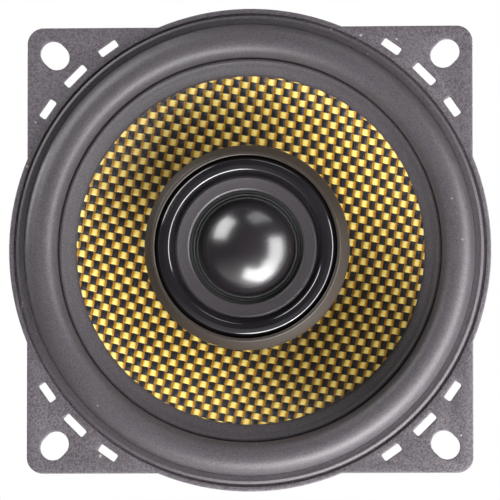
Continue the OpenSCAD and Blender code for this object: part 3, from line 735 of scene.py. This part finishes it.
def bends_by_radius(piece, inner, outer, r_inner, r_outer):
    count = len(piece.data.vertices)
    rest = np.zeros(count * 3, np.float32)
    piece.data.vertices.foreach_get("co", rest)
    points = rest.reshape(-1, 3)
    laid = np.zeros_like(points)
    laid[:, 0] = np.hypot(points[:, 0], points[:, 2])
    piece.data.vertices.foreach_set("co", laid.ravel())
    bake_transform(piece)
    piece.data.vertices.foreach_set("co", rest)
    piece.data.update()


# %% [markdown]
# The surround is moulded rubber: a flat land glued over the cone's edge, a half roll that lets
# the cone travel, and a foot with a raised rim that stands in the flange's seat. The outline
# follows the frame, with softer corners.

# %% Surround
foot_r, seat_z, roll_top = outline_of("surround")
ROLL_INNER, ROLL_OUTER, RUBBER = 40.0, 46.9, 0.8
LAND_R, VALLEY_Z = 36.25, 0.86
ROLL_BENDS = 39.6, 46.6                  # the rubber bends between these radii
roll_r, roll_mid = (ROLL_OUTER - ROLL_INNER) / 2, (ROLL_OUTER + ROLL_INNER) / 2
roll_z = roll_top - roll_r


def surround_outline():
    land = [(r, float(cone_z(r)) + lift) for r, lift in
            ((LAND_R, 0.10), (LAND_R + 0.10, 0.36), (LAND_R + 0.4, 0.50), (37.4, 0.52),
             (37.9, 0.54), (38.3, 0.64), (38.7, 0.82), (39.0, 0.93), (39.3, 0.95),
             (39.55, 0.86), (39.75, 0.68))]
    land += [(39.78, VALLEY_Z + 0.10), (39.94, VALLEY_Z), (40.04, VALLEY_Z + 0.06)]
    top = arc((roll_mid, roll_z), roll_r, 169, 4, 44)
    foot = rounded([(47.0, roll_z + 0.12), (47.35, roll_z + 0.10), (48.15, roll_z + 0.30),
                    (foot_r, roll_z + 0.05), (foot_r, seat_z), (46.4, seat_z)], 0.12, 3)
    under = arc((roll_mid, roll_z), roll_r - RUBBER, 0, 180, 32)
    back = [(40.75, 0.8), (40.4, 0.12), (cone_r + 0.12, 0.02)]
    back += [(r, float(cone_z(r)) + 0.06) for r in (cone_r + 0.11, 38.5, 37.5, LAND_R)]
    return land + top + foot + under + back


surround = spin(surround_outline(), 320, name="rubber_surround")
bends_by_radius(surround, "woofer", "frame", *ROLL_BENDS)
adopt(surround, "frame", "surround_rubber", rubber, "surround")
print("surround:", len(surround.data.vertices), "points")

# %% [markdown]
# The spider is the corrugated cloth disc that centres the voice coil. It is spun from a wave,
# and on the real speaker it flexes between the former and the basket's ledge.

# %% Spider
spider_r, spider_low, spider_high = outline_of("spider")
WAVE_FROM, WAVE_TO, WAVES, CLOTH_T = 15.6, 27.6, 4, 0.42
CLOTH_BENDS = 15.0, 28.4
spider_mid = (spider_low + spider_high) / 2
wave_h = (spider_high - spider_low - CLOTH_T) / 2


def spider_outline():
    radii = [NECK_R + 0.02, 14.2] + list(np.linspace(WAVE_FROM, WAVE_TO, 73)) + [29.5, spider_r]
    middle = []
    for r in radii:
        share = min(max((r - WAVE_FROM) / (WAVE_TO - WAVE_FROM), 0), 1)
        middle.append((r, spider_mid + wave_h * math.sin(2 * math.pi * WAVES * share)))
    return ([(r, z + CLOTH_T / 2) for r, z in middle]
            + [(r, z - CLOTH_T / 2) for r, z in reversed(middle)])


spider = spin(spider_outline(), 256, name="spider_disc")
bends_by_radius(spider, "woofer", "frame", *CLOTH_BENDS)
adopt(spider, "frame", "spider_cloth", spider_cloth, "spider")
print("spider:", len(spider.data.vertices), "points")

# %% [markdown]
# The motor is three heavy discs: the top plate, the ferrite ring and the back plate with its
# pole. Ferrite is brittle, so its edges are ground to a chamfer. The steel edges are only
# broken. The ferrite ring and the back plate are spun with rounded corners, and the top plate is
# a refined copy of its node.

# %% Motor
magnet_r, magnet_rear, magnet_front = outline_of("ring_magnet")
yoke_r, yoke_rear, pole_front = outline_of("pole_yoke")
MAGNET_BORE, POLE_R, POLE_BORE = 16.0, 12.2, 4.2
POCKET_R, POCKET_DEPTH = 8.5, 4.5

adopt(refined("top_plate", 0.25), "frame", "plated_steel", steel, "top_plate")
magnet = spin(rounded([
    (MAGNET_BORE, magnet_rear), (magnet_r - 1, magnet_rear), (magnet_r, magnet_rear + 1),
    (magnet_r, magnet_front - 1), (magnet_r - 1, magnet_front), (MAGNET_BORE, magnet_front)],
    0.25), name="ferrite_ring")
adopt(magnet, "frame", "ferrite", ferrite, "ring_magnet")
pocket_z = yoke_rear + POCKET_DEPTH
yoke = spin(rounded([
    (POCKET_R, yoke_rear), (yoke_r - 0.6, yoke_rear), (yoke_r, yoke_rear + 0.6),
    (yoke_r, magnet_rear), (POLE_R, magnet_rear), (POLE_R, pole_front - 0.6),
    (POLE_R - 0.6, pole_front), (POLE_BORE, pole_front), (POLE_BORE, pocket_z),
    (POCKET_R, pocket_z)], 0.2), name="back_plate_and_pole")
adopt(yoke, "frame", "plated_steel", steel, "pole_yoke")
adopt(refined("motor_screws", 0.18, 2), "frame", "plated_steel", steel, "motor_screws")
print("motor: top plate, ferrite ring, back plate and pole, screws")

# %% [markdown]
# The coil parts hide in the magnet's gap. The former is a thin amber film tube and the
# windings are copper wire. They keep their frame shapes and get better finishes. So do the
# tweeter's inner motor parts, which its shell closes in.

# %% Hidden parts keep their nodes
for node, finish in {
        "coil_former": amber, "voice_coil": copper, "tweeter_coil": copper,
        "tweeter_yoke": steel, "tweeter_magnet": nickel, "tweeter_pole_plate": steel,
        "dome_felt": felt, "post_washer": steel}.items():
    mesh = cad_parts[node].data
    mesh.materials.clear()
    mesh.materials.append(finish)
print("hidden parts finished")

# %% [markdown]
# The tweeter's shell is one moulding, a bowl on the post with a sloped side and a narrow
# bright rim. The rim's two edges are rounded, because each of them draws a fine line of light
# round the pod.

# %% Pod shell
pod_r, pod_rear, pod_front = outline_of("pod_housing")
POD_RIM, SOCKET_R, POD_FOOT, POST_R = 19.6, 18.95, 9.0, 4.0
BOWL_R, LEDGE_DROP, SIDE_DROP = 10.4, 3.5, 2.6
FLOOR_TOP, MOTOR_FLOOR, MOTOR_TOP = 1.2, 2.6, 3.6      # heights inside the shell
MOTOR_R, CUP_R, HOLLOW_R = 10.6, 12.65, 17.0           # radii inside the shell
shoulder = pod_front - SIDE_DROP
ledge_z = pod_front - LEDGE_DROP
shell = rounded([(SOCKET_R, ledge_z), (SOCKET_R, pod_front), (POD_RIM, pod_front),
                 (pod_r, shoulder)], 0.22, 5)
shell = shell[6:] + arc((pod_r - BOWL_R, shoulder - 1), BOWL_R, 0, -60, 20)
shell += [(POD_FOOT, pod_rear), (POST_R + 0.05, pod_rear), (POST_R + 0.05, FLOOR_TOP),
          (MOTOR_R, FLOOR_TOP), (MOTOR_R, MOTOR_FLOOR), (CUP_R, MOTOR_FLOOR), (CUP_R, MOTOR_TOP),
          (CUP_R + 0.75, MOTOR_TOP), (CUP_R + 0.75, MOTOR_TOP - 0.6), (15.2, 3.4),
          (HOLLOW_R, 6.0), (HOLLOW_R, ledge_z), (SOCKET_R, ledge_z)]
pod = adopt(spin(shell, 256, name="pod_shell"), "frame", "pod_plastic", pod_plastic,
            "pod_housing")
print("pod shell:", len(pod.data.vertices), "points")

# %% [markdown]
# Inside the rim sits the trim ring, a glossy black ring with a round back. On the real object
# it carries the maker's lettering, which is left out here. Inside that, across a dark groove, is
# the satin faceplate with its narrow bevels and an inner lip. The lip is darker than the satin
# face, as painted shade for its deep recess.

# %% Trim ring and faceplate
trim_r, trim_seat, trim_top = outline_of("trim_ring")
TRIM_INNER = 15.5
trim = spin(rounded([
    (TRIM_INNER, trim_seat), (TRIM_INNER, trim_top - 0.75), (TRIM_INNER + 0.5, trim_top - 0.2),
    (17.0, trim_top + 0.06), (18.05, trim_top - 0.3), (trim_r, trim_top - 1.5),
    (trim_r, trim_seat)], 0.7, 10), 256, name="gloss_ring")
adopt(trim, "frame", "trim_gloss", trim_gloss, "trim_ring")

face_flange_r, face_rear, face_front = outline_of("faceplate")
FACE_OUTER, FACE_INNER, LIP_R, FLANGE_T, DISH = 14.75, 11.8, 11.2, 0.95, 0.45
flange_z = face_rear + FLANGE_T
face = spin(rounded([
    (FACE_INNER, face_rear), (face_flange_r, face_rear), (face_flange_r, flange_z),
    (FACE_OUTER, flange_z), (FACE_OUTER, face_front - 0.35), (FACE_OUTER - 0.5, face_front),
    (FACE_OUTER - 0.8, face_front - 0.12), (FACE_INNER + 0.35, face_front - DISH),
    (FACE_INNER, face_front - DISH - 0.25)], 0.16, 4), 256, name="face_ring")
adopt(face, "frame", "faceplate_satin", face_paint, "faceplate")
lip = spin(rounded([
    (LIP_R, face_rear), (FACE_INNER - 0.03, face_rear), (FACE_INNER - 0.03, face_rear + 0.45),
    (LIP_R, face_rear + 0.45)], 0.1, 3), 192, name="face_lip")
# Painted shade: the lip is dark plastic because its deep recess falls in shade.
adopt(lip, "frame", "black_plastic", black_plastic)
print("trim ring spans %.1f to %.1f mm" % (TRIM_INNER, trim_r))

# %% [markdown]
# The dome is a thin cap, a part of a sphere, with a short skirt where the coil is glued. Its
# suspension is a tiny half roll between the dome and the clamped foot, where the real one flexes.

# %% Dome and its suspension
dome_ring_r, dome_rear, dome_tip = outline_of("tweeter_dome")
DOME_FOOT, DOME_SPHERE, DOME_T = 9.6, 11.4, 0.3
dome_centre = dome_tip - DOME_SPHERE
foot_angle = math.degrees(math.acos(DOME_FOOT / DOME_SPHERE))
foot_z = dome_centre + math.sqrt(DOME_SPHERE ** 2 - DOME_FOOT ** 2)
outer = arc((0, dome_centre), DOME_SPHERE, foot_angle, 90, 48)
inner = arc((0, dome_centre), DOME_SPHERE - DOME_T, 90, foot_angle + 1, 40)
outer[-1], inner[0] = (0.0, outer[-1][1]), (0.0, inner[0][1])
skirt = [(DOME_FOOT - 0.4, dome_rear), (dome_ring_r, dome_rear), (dome_ring_r, foot_z - 0.02)]
adopt(spin(outer + inner + skirt, 192, name="dome_cap"), "tweeter", "dome_gloss", dome_gloss,
      "tweeter_dome")

clamp_r, clamp_rear, _ = outline_of("dome_suspension")
roll_from = dome_ring_r + 0.05
small_r, SKIN = 0.32, 0.18
small_mid = roll_from + small_r
step_r = LIP_R - 0.08
suspension = spin(
    [(roll_from, foot_z - SKIN), (roll_from, foot_z)]
    + arc((small_mid, foot_z), small_r, 180, 12, 16)
    + arc((step_r - 0.14, foot_z + 0.12), 0.28, 200, 90, 8)
    + [(step_r, foot_z + 0.34), (step_r, ledge_z - 0.02), (clamp_r, ledge_z - 0.05),
       (clamp_r, clamp_rear), (10.9, clamp_rear), (10.7, foot_z - 0.35)]
    + arc((small_mid, foot_z), small_r - SKIN, 0, 180, 10),
    192, name="dome_roll")
bends_by_radius(suspension, "tweeter", "frame", roll_from, LIP_R - 0.1)
adopt(suspension, "frame", "suspension_cloth", coated_cloth, "dome_suspension")
print("dome rises %.1f mm above its foot" % (dome_tip - foot_z))

# %% [markdown]
# A hollow threaded post holds the tweeter. It runs through the pole and is pulled tight by a
# nut and washer at the rear. Its thread shows there, so the outline of its last stretch is
# notched before it is spun. A plain sleeve keeps the pod at its height.

# %% Post, sleeve and nut
post_r, post_rear, post_front = outline_of("tweeter_post")
POST_BORE, THREAD_PITCH, THREAD_DEPTH, THREAD_TURNS = 2.2, 0.75, 0.35, 8
thread = []
for k in range(THREAD_TURNS):
    z = post_rear + 0.3 + k * THREAD_PITCH
    thread += [(post_r - THREAD_DEPTH, z), (post_r, z + THREAD_PITCH * 0.4),
               (post_r, z + THREAD_PITCH * 0.6)]
post = spin([(POST_BORE, post_rear), (post_r - THREAD_DEPTH, post_rear)] + thread
            + [(post_r, post_front), (POST_BORE, post_front)], 128, name="threaded_post")
adopt(post, "frame", "plated_steel", steel, "tweeter_post")
sleeve_r, sleeve_rear, sleeve_front = outline_of("post_sleeve")
standoff = spin(rounded([(POST_R + 0.05, sleeve_rear), (sleeve_r, sleeve_rear),
                         (sleeve_r, sleeve_front), (POST_R + 0.05, sleeve_front)], 0.3),
                128, name="standoff_sleeve")
adopt(standoff, "frame", "black_plastic", black_plastic, "post_sleeve")
adopt(refined("post_nut", 0.3, 3), "frame", "brass", brass, "post_nut")
print("thread: %d turns of %.2f mm" % (THREAD_TURNS, THREAD_PITCH))

# %% [markdown]
# The terminal board is riveted to one leg. It carries two spade tabs, a wide one and a narrow
# one, so that a plug can't go on the wrong way round. The pieces are cut and stamped, so they
# are refined copies of their nodes.

# %% Terminal board, tabs, eyelets and rivets
for node, bevel, slot, finish in (
        ("terminal_board", 0.08, "phenolic_board", board_brown),
        ("terminal_tab_plus", 0.1, "tinned_brass", tin),
        ("terminal_tab_minus", 0.1, "tinned_brass", tin),
        ("terminal_eyelets", 0.15, "brass", brass),
        ("board_rivets", 0.2, "plated_steel", steel)):
    adopt(refined(node, bevel, 3), "frame", slot, finish, node)
print("terminal pieces refined")

# %% [markdown]
# Places on a leg are easiest to give along its slope, across it and out from it. The leg's
# outer line runs between two points of the frame, so one helper turns those three distances
# into a place. Solder beads where the leads meet the tabs are small flattened balls with an
# uneven skin.

# %% Helper for places on a leg, and solder beads
LEG_TOP, LEG_FOOT = Vector((46.0, -6.0)), Vector((34.4, -19.0))
TERMINAL_ANGLE = math.radians(315)
PLUS_SIDE, MINUS_SIDE = -3.3, 3.6        # where each tab stands across the leg
TAB_ALONG, TAB_OUT = 10.9, 2.2
down_leg = (LEG_FOOT - LEG_TOP).normalized()
off_leg = Vector((-down_leg.y, down_leg.x))


def by_terminal_leg(r, side, z):
    """Place at radius r and height z in the terminal leg's own direction, moved sideways."""
    c, s = math.cos(TERMINAL_ANGLE), math.sin(TERMINAL_ANGLE)
    return Vector((r * c - side * s, r * s + side * c, z))


def on_leg(along, side, out):
    spot = LEG_TOP + down_leg * along + off_leg * out
    return by_terminal_leg(spot.x, side, spot.y)


def bead(name, centre, normal, radius, flat, body, slot, finish, *nodes, seed=0):
    bm = bmesh.new()
    bmesh.ops.create_icosphere(bm, subdivisions=4, radius=radius * MM)
    turn = Vector((0, 0, 1)).rotation_difference(facing(*normal)).to_matrix()
    rng = np.random.default_rng(seed)
    lobes = rng.normal(size=(5, 3))
    for vert in bm.verts:
        way = vert.co.normalized()
        swell = sum(0.05 * math.sin(2.6 * way.dot(Vector(lobe)) + i)
                    for i, lobe in enumerate(lobes))
        spot = vert.co * (1 + swell)
        spot.z *= flat
        vert.co = turn @ spot + facing(*centre)
    return adopt(finish_mesh(bm, name), body, slot, finish, *nodes)


leg_normal = on_leg(0, 0, 1) - on_leg(0, 0, 0)
for name, side, radius, seed in (("solder_plus", PLUS_SIDE, 1.15, 1),
                                 ("solder_minus", MINUS_SIDE, 1.1, 2)):
    bead(name, on_leg(TAB_ALONG, side, TAB_OUT), leg_normal, radius, 0.75, "frame",
         "tinned_brass", solder, seed=seed)
print("solder beads on both tabs")

# %% [markdown]
# Leads are swept along routes. The points are the frame's own, joined by a smooth curve, and a
# helper carries a small circle along it without twisting. A stranded lead is several thin
# tubes that wind round the same route.

# %% Helpers for leads


def smooth_route(points, steps):
    p = [Vector(points[0])] + [Vector(q) for q in points] + [Vector(points[-1])]
    route = []
    for i in range(1, len(p) - 2):
        a, b, c, d = p[i - 1:i + 3]
        for k in range(steps):
            t = k / steps
            route.append(b + t / 2 * (c - a) + t * t / 2 * (2 * a - 5 * b + 4 * c - d)
                         + t ** 3 / 2 * (3 * b - a - 3 * c + d))
    return route + [p[-2]]


def frames_along(route):
    last = len(route) - 1
    dirs = [(route[min(i + 1, last)] - route[max(i - 1, 0)]).normalized()
            for i in range(last + 1)]
    side = dirs[0].orthogonal().normalized()
    result = []
    for spot, way in zip(route, dirs):
        side = (side - side.dot(way) * way).normalized()
        result.append((spot, side, way.cross(side), way))
    return result


def tube_into(bm, frames, radius, sides=16):
    rings = []
    tip = radius * 0.6          # each end is drawn in to a blunt tip
    stations = ([(frames[0], tip, -tip)] + [(f, radius, 0.0) for f in frames]
                + [(frames[-1], tip, tip)])
    for (spot, u, v, way), r, ahead in stations:
        centre = spot + way * ahead
        rings.append([bm.verts.new(facing(*(centre + r * (
            math.cos(2 * math.pi * k / sides) * u + math.sin(2 * math.pi * k / sides) * v))))
            for k in range(sides)])
    for one, two in zip(rings, rings[1:]):
        for k in range(sides):
            bm.faces.new((one[k], one[(k + 1) % sides], two[(k + 1) % sides], two[k]))
    bm.faces.new(rings[0])
    bm.faces.new(rings[-1])


def lead(name, points, radius, slot, finish, *nodes):
    bm = bmesh.new()
    tube_into(bm, frames_along(smooth_route(points, 8)), radius)
    return adopt(finish_mesh(bm, name), "frame", slot, finish, *nodes)


# %% [markdown]
# Three insulated leads: a short one from the plus tab to the capacitor, one from the capacitor
# over the magnet and up through the post to the tweeter, and its partner from the minus tab.
# They are glued down on the real object, so they lie close to the metal all the way.

# %% Insulated leads
WIRE_R = 0.6
rise = [(0.7, 0, -40), (0.7, 0, -28), (0.7, 0, -14), (0.7, 0, -3), (0.8, 0, 0.8), (3, 0, 1.9),
        (7, 0, 1.9), (12.2, 0, 1.9), (14.5, 0, 2.9), (14.8, 0, 5), (14.8, 0, 7.8)]
lead("capacitor_lead_fine", [
    (26.5, -31.1, -15.9), (23.9, -34.1, -16.2), (22, -35.8, -19.2), (17.5, -37, -22.4),
    (13, -36.8, -24.2), (8.6, -36.2, -24.4)], WIRE_R, "red_insulation", red_pvc,
    "capacitor_lead")
lead("tweeter_lead_plus_fine", [
    (-8.6, -36.2, -24.4), (-12, -36.4, -25), (-14.3, -35.2, -28), (-14.4, -33.3, -33),
    (-14.2, -33.1, -40), (-12.6, -30.5, -45.9), (-10, -24, -46), (-5, -12, -46),
    (-1.6, -3, -46.4), (-0.7, -0.3, -44.6)] + [(-x, y, z) for x, y, z in rise],
    WIRE_R, "red_insulation", red_pvc, "tweeter_lead_plus")
lead("tweeter_lead_minus_fine", [
    (31.4, -26.2, -15.9), (34.3, -23.8, -16.2), (34, -22, -20.5), (32.4, -19.6, -26),
    (31.4, -18.3, -33), (31.2, -18.2, -40), (28.6, -16.6, -45.9), (22, -12.6, -46),
    (10, -6, -46), (2.8, -1.4, -46.4), (0.7, 0, -44.6)] + rise,
    WIRE_R, "black_insulation", black_pvc, "tweeter_lead_minus")
print("three insulated leads")

# %% [markdown]
# Two bare braided leads carry the current to the moving cone. Each is a rope of thin strands
# with enough slack for the cone's travel. It runs in a curve from the board to the glued joint
# on the cone's back.

# %% Braided leads and their joints
TINSEL_ROUTE = [(39.6, -11.5), (36.7, -12.7), (33, -14.4), (29, -14.8), (25, -13.6),
                (22.6, -12)]
STRANDS, STRAND_R, ROPE_R, TURNS = 5, 0.19, 0.24, 9.0
JOINT_R, JOINT_LOW = 21.6, 0.55               # each joint's radius, and its drop behind the cone


def braided_leads():
    bm = bmesh.new()
    for side in (PLUS_SIDE, MINUS_SIDE):
        points = [by_terminal_leg(r, side, z) for r, z in TINSEL_ROUTE]
        frames = frames_along(smooth_route(points, 24))
        for strand in range(STRANDS):
            wound = []
            for i, (spot, u, v, _) in enumerate(frames):
                t = 2 * math.pi * (strand / STRANDS + TURNS * i / len(frames))
                wound.append(spot + ROPE_R * (math.cos(t) * u + math.sin(t) * v))
            tube_into(bm, frames_along(wound), STRAND_R, 8)
    return finish_mesh(bm, "braided_leads")


tinsel = braided_leads()
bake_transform(tinsel)
adopt(tinsel, "frame", "tinsel_braid", braid, "tinsel_leads")
for n, side in enumerate((PLUS_SIDE, MINUS_SIDE)):
    spot = by_terminal_leg(JOINT_R, side, float(cone_z(JOINT_R)) - CONE_T - JOINT_LOW)
    bead("cone_joint_%d" % n, spot, (0.35, -0.35, -0.87), 1.7, 0.6, "woofer",
                       "black_adhesive", glue_black, seed=5 + n)
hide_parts("lead_joints")
print("braided leads:", len(tinsel.data.vertices), "points")

# %% [markdown]
# The capacitor keeps low notes away from the tweeter. It is a small can in a blue shrunk
# sleeve, spun round its own axis, with a crimped neck and a rubber plug at each end. It lies in
# a bed of hot glue against the cup.

# %% Capacitor and its glue
low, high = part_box("crossover_capacitor")
can_at = Vector(((low.x + high.x) / 2, (low.z + high.z) / 2, -(low.y + high.y) / 2)) / MM
can_r = (high.z - low.z) / 2 / MM
CAN_LEN, STUB, STUB_R = 13.0, 2.0, 0.33
half = CAN_LEN / 2


def lying(x, y, z):
    return facing(can_at.x + z, can_at.y + y, can_at.z + x)


crimp = [(can_r, half - 2.1), (can_r - 0.35, half - 1.5), (can_r, half - 0.9)]
end_cap = crimp + [(can_r, half - 0.25), (can_r - 0.3, half), (can_r - 0.9, half),
                   (can_r - 1.0, half - 0.3), (0.9, half - 0.3), (0.5, half)]
profile = [(0.0, -half)] + [(r, -z) for r, z in reversed(end_cap)] + end_cap + [(0.0, half)]
can = spin(profile, 96, put=lying, name="capacitor_can")
adopt(can, "frame", "capacitor_sleeve", sleeve, "crossover_capacitor")
for name, sign in (("can_lead_right", 1), ("can_lead_left", -1)):
    lead(name, [can_at + Vector((sign * (half - 0.2), 0, 0)),
                can_at + Vector((sign * (half + 1), 0, 0)),
                can_at + Vector((sign * (half + STUB), 0, 0))], STUB_R, "tinned_brass", tin)
low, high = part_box("capacitor_glue")
glue_at = ((low.x + high.x) / 2 / MM, (low.z + high.z) / 2 / MM, -(low.y + high.y) / 2 / MM)
bead("glue_bed", glue_at, (0.0, -1.0, 0.0), (high.x - low.x) / 2 / MM, 0.36, "frame",
     "hot_glue", hot_glue, "capacitor_glue", seed=9)
print("capacitor radius %.1f mm" % can_r)

# %% [markdown]
# The stage is plain: a pale floor well below, a white surround behind, and soft boxes. The
# camera stands far off with a long lens, a few degrees to the right of the axis and below it.
# The surround is white where the camera sees it and dim in reflections, so that glossy black
# pieces stay black, as in a studio with a white backdrop and a dark room in front.

# %% Camera
CAMERA_AZ, CAMERA_EL = math.radians(4.3), math.radians(-3.5)
CAMERA_FAR, VIEW_WIDTH = 1.5, 103.9 * MM
SENSOR = 36.0
back = Vector((math.sin(CAMERA_AZ) * math.cos(CAMERA_EL),
               -math.cos(CAMERA_AZ) * math.cos(CAMERA_EL), math.sin(CAMERA_EL)))
camera = bpy.data.objects.new("camera", bpy.data.cameras.new("camera"))
camera.data.sensor_width = SENSOR
camera.data.lens = SENSOR * CAMERA_FAR / VIEW_WIDTH
camera.data.clip_end = 20.0
camera.location = back * CAMERA_FAR
camera.rotation_euler = (-back).to_track_quat("-Z", "Y").to_euler()
bpy.context.scene.collection.objects.link(camera)
bpy.context.scene.camera = camera
print("lens %.0f mm" % camera.data.lens)

# %% [markdown]
# Five soft boxes stand round the speaker, well off to the sides, and the glossy dome shows
# them as blurred patches. Each one is given by its direction from the speaker, as the camera
# sees it: right, up and towards the camera. Then come its width and height in metres and its
# power in watts. Two more light the back, for views from behind.

# %% Lights
right = Vector((0, 0, 1)).cross(back).normalized()
up = back.cross(right)
LIGHT_FAR, REAR_FAR = 0.42, 0.7


def soft_box(name, direction, width, height, watts, far=LIGHT_FAR):
    way = (right * direction[0] + up * direction[1] + back * direction[2]).normalized()
    light = bpy.data.lights.new(name, "AREA")
    light.shape = "RECTANGLE"
    light.size, light.size_y = width, height
    light.energy = watts
    lamp = bpy.data.objects.new(name, light)
    lamp.location = way * far
    lamp.rotation_euler = way.to_track_quat("Z", "Y").to_euler()
    lamp.visible_camera = False
    bpy.context.scene.collection.objects.link(lamp)


soft_box("box_left", (-0.733, 0.616, 0.287), 0.24, 0.30, 1.6)
soft_box("box_top", (0.289, 0.924, 0.248), 0.30, 0.18, 0.35)
soft_box("box_right", (0.850, 0.0, 0.527), 0.24, 0.34, 2.1)
soft_box("box_bottom", (0.193, -0.821, 0.538), 0.32, 0.20, 2.5)
soft_box("box_low_right", (0.6, -0.6, 0.5), 0.24, 0.24, 1.8)
soft_box("box_rear_left", (-0.75, 0.55, -0.75), 0.6, 0.6, 9.0, REAR_FAR)
soft_box("box_rear_right", (0.80, 0.35, -0.80), 0.5, 0.6, 7.0, REAR_FAR)
print("seven soft boxes")

# %% [markdown]
# The world shader picks its brightness by what kind of ray asks: white for the camera, and very
# dim for light and reflections. The floor is a large plane with a slight unevenness. It glows
# a little where the camera sees it, so that it stays pale without lighting the speaker.

# %% World and floor
world = bpy.data.worlds.new("studio")
bpy.context.scene.world = world
world.use_nodes = True
tree = world.node_tree
tree.nodes.clear()
seen = add(tree, "ShaderNodeBackground", {"Color": (1, 1, 1, 1), "Strength": 1.0})
felt_by = add(tree, "ShaderNodeBackground", {"Color": (1, 1, 1, 1), "Strength": 0.06})
rays = add(tree, "ShaderNodeLightPath")
both = add(tree, "ShaderNodeMixShader", {0: rays.outputs["Is Camera Ray"],
                                         1: felt_by.outputs[0], 2: seen.outputs[0]})
add(tree, "ShaderNodeOutputWorld", {"Surface": both.outputs[0]})

FLOOR_Z, FLOOR_HALF, FLOOR_GLOW = -0.55, 3.0, 0.8
bm = bmesh.new()
bmesh.ops.create_grid(bm, x_segments=12, y_segments=12, size=FLOOR_HALF)
floor = finish_mesh(bm, "floor")
floor.location.z = FLOOR_Z
pale, tree, shader = start_material("pale_floor", Roughness=0.7)
out = use(tree, grain, Size=6.0)
tree.links.new(ramp(tree, out["Blotch"], (0.2, (0.80, 0.79, 0.78)), (0.8, (0.86, 0.85, 0.84))),
               shader.inputs["Base Color"])
glow = add(tree, "ShaderNodeEmission", {"Color": (1, 1, 1, 1), "Strength": 0.92})
seen_by_camera = add(tree, "ShaderNodeLightPath").outputs["Is Camera Ray"]
both = add(tree, "ShaderNodeMixShader", {0: maths(tree, "MULTIPLY", seen_by_camera,
                                                  FLOOR_GLOW),
                                         1: shader.outputs[0], 2: glow.outputs[0]})
tree.links.new(both.outputs[0], tree.nodes["Material Output"].inputs["Surface"])
floor.data.materials.append(pale)
floor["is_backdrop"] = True
bpy.context.scene.view_settings.view_transform = "Standard"
print("world and floor ready")

# %% [markdown]
# Last, the sizes.

# %% Sizes and finish
low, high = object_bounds()
print("visual size mm:", [round(v * 1000, 1) for v in high - low])
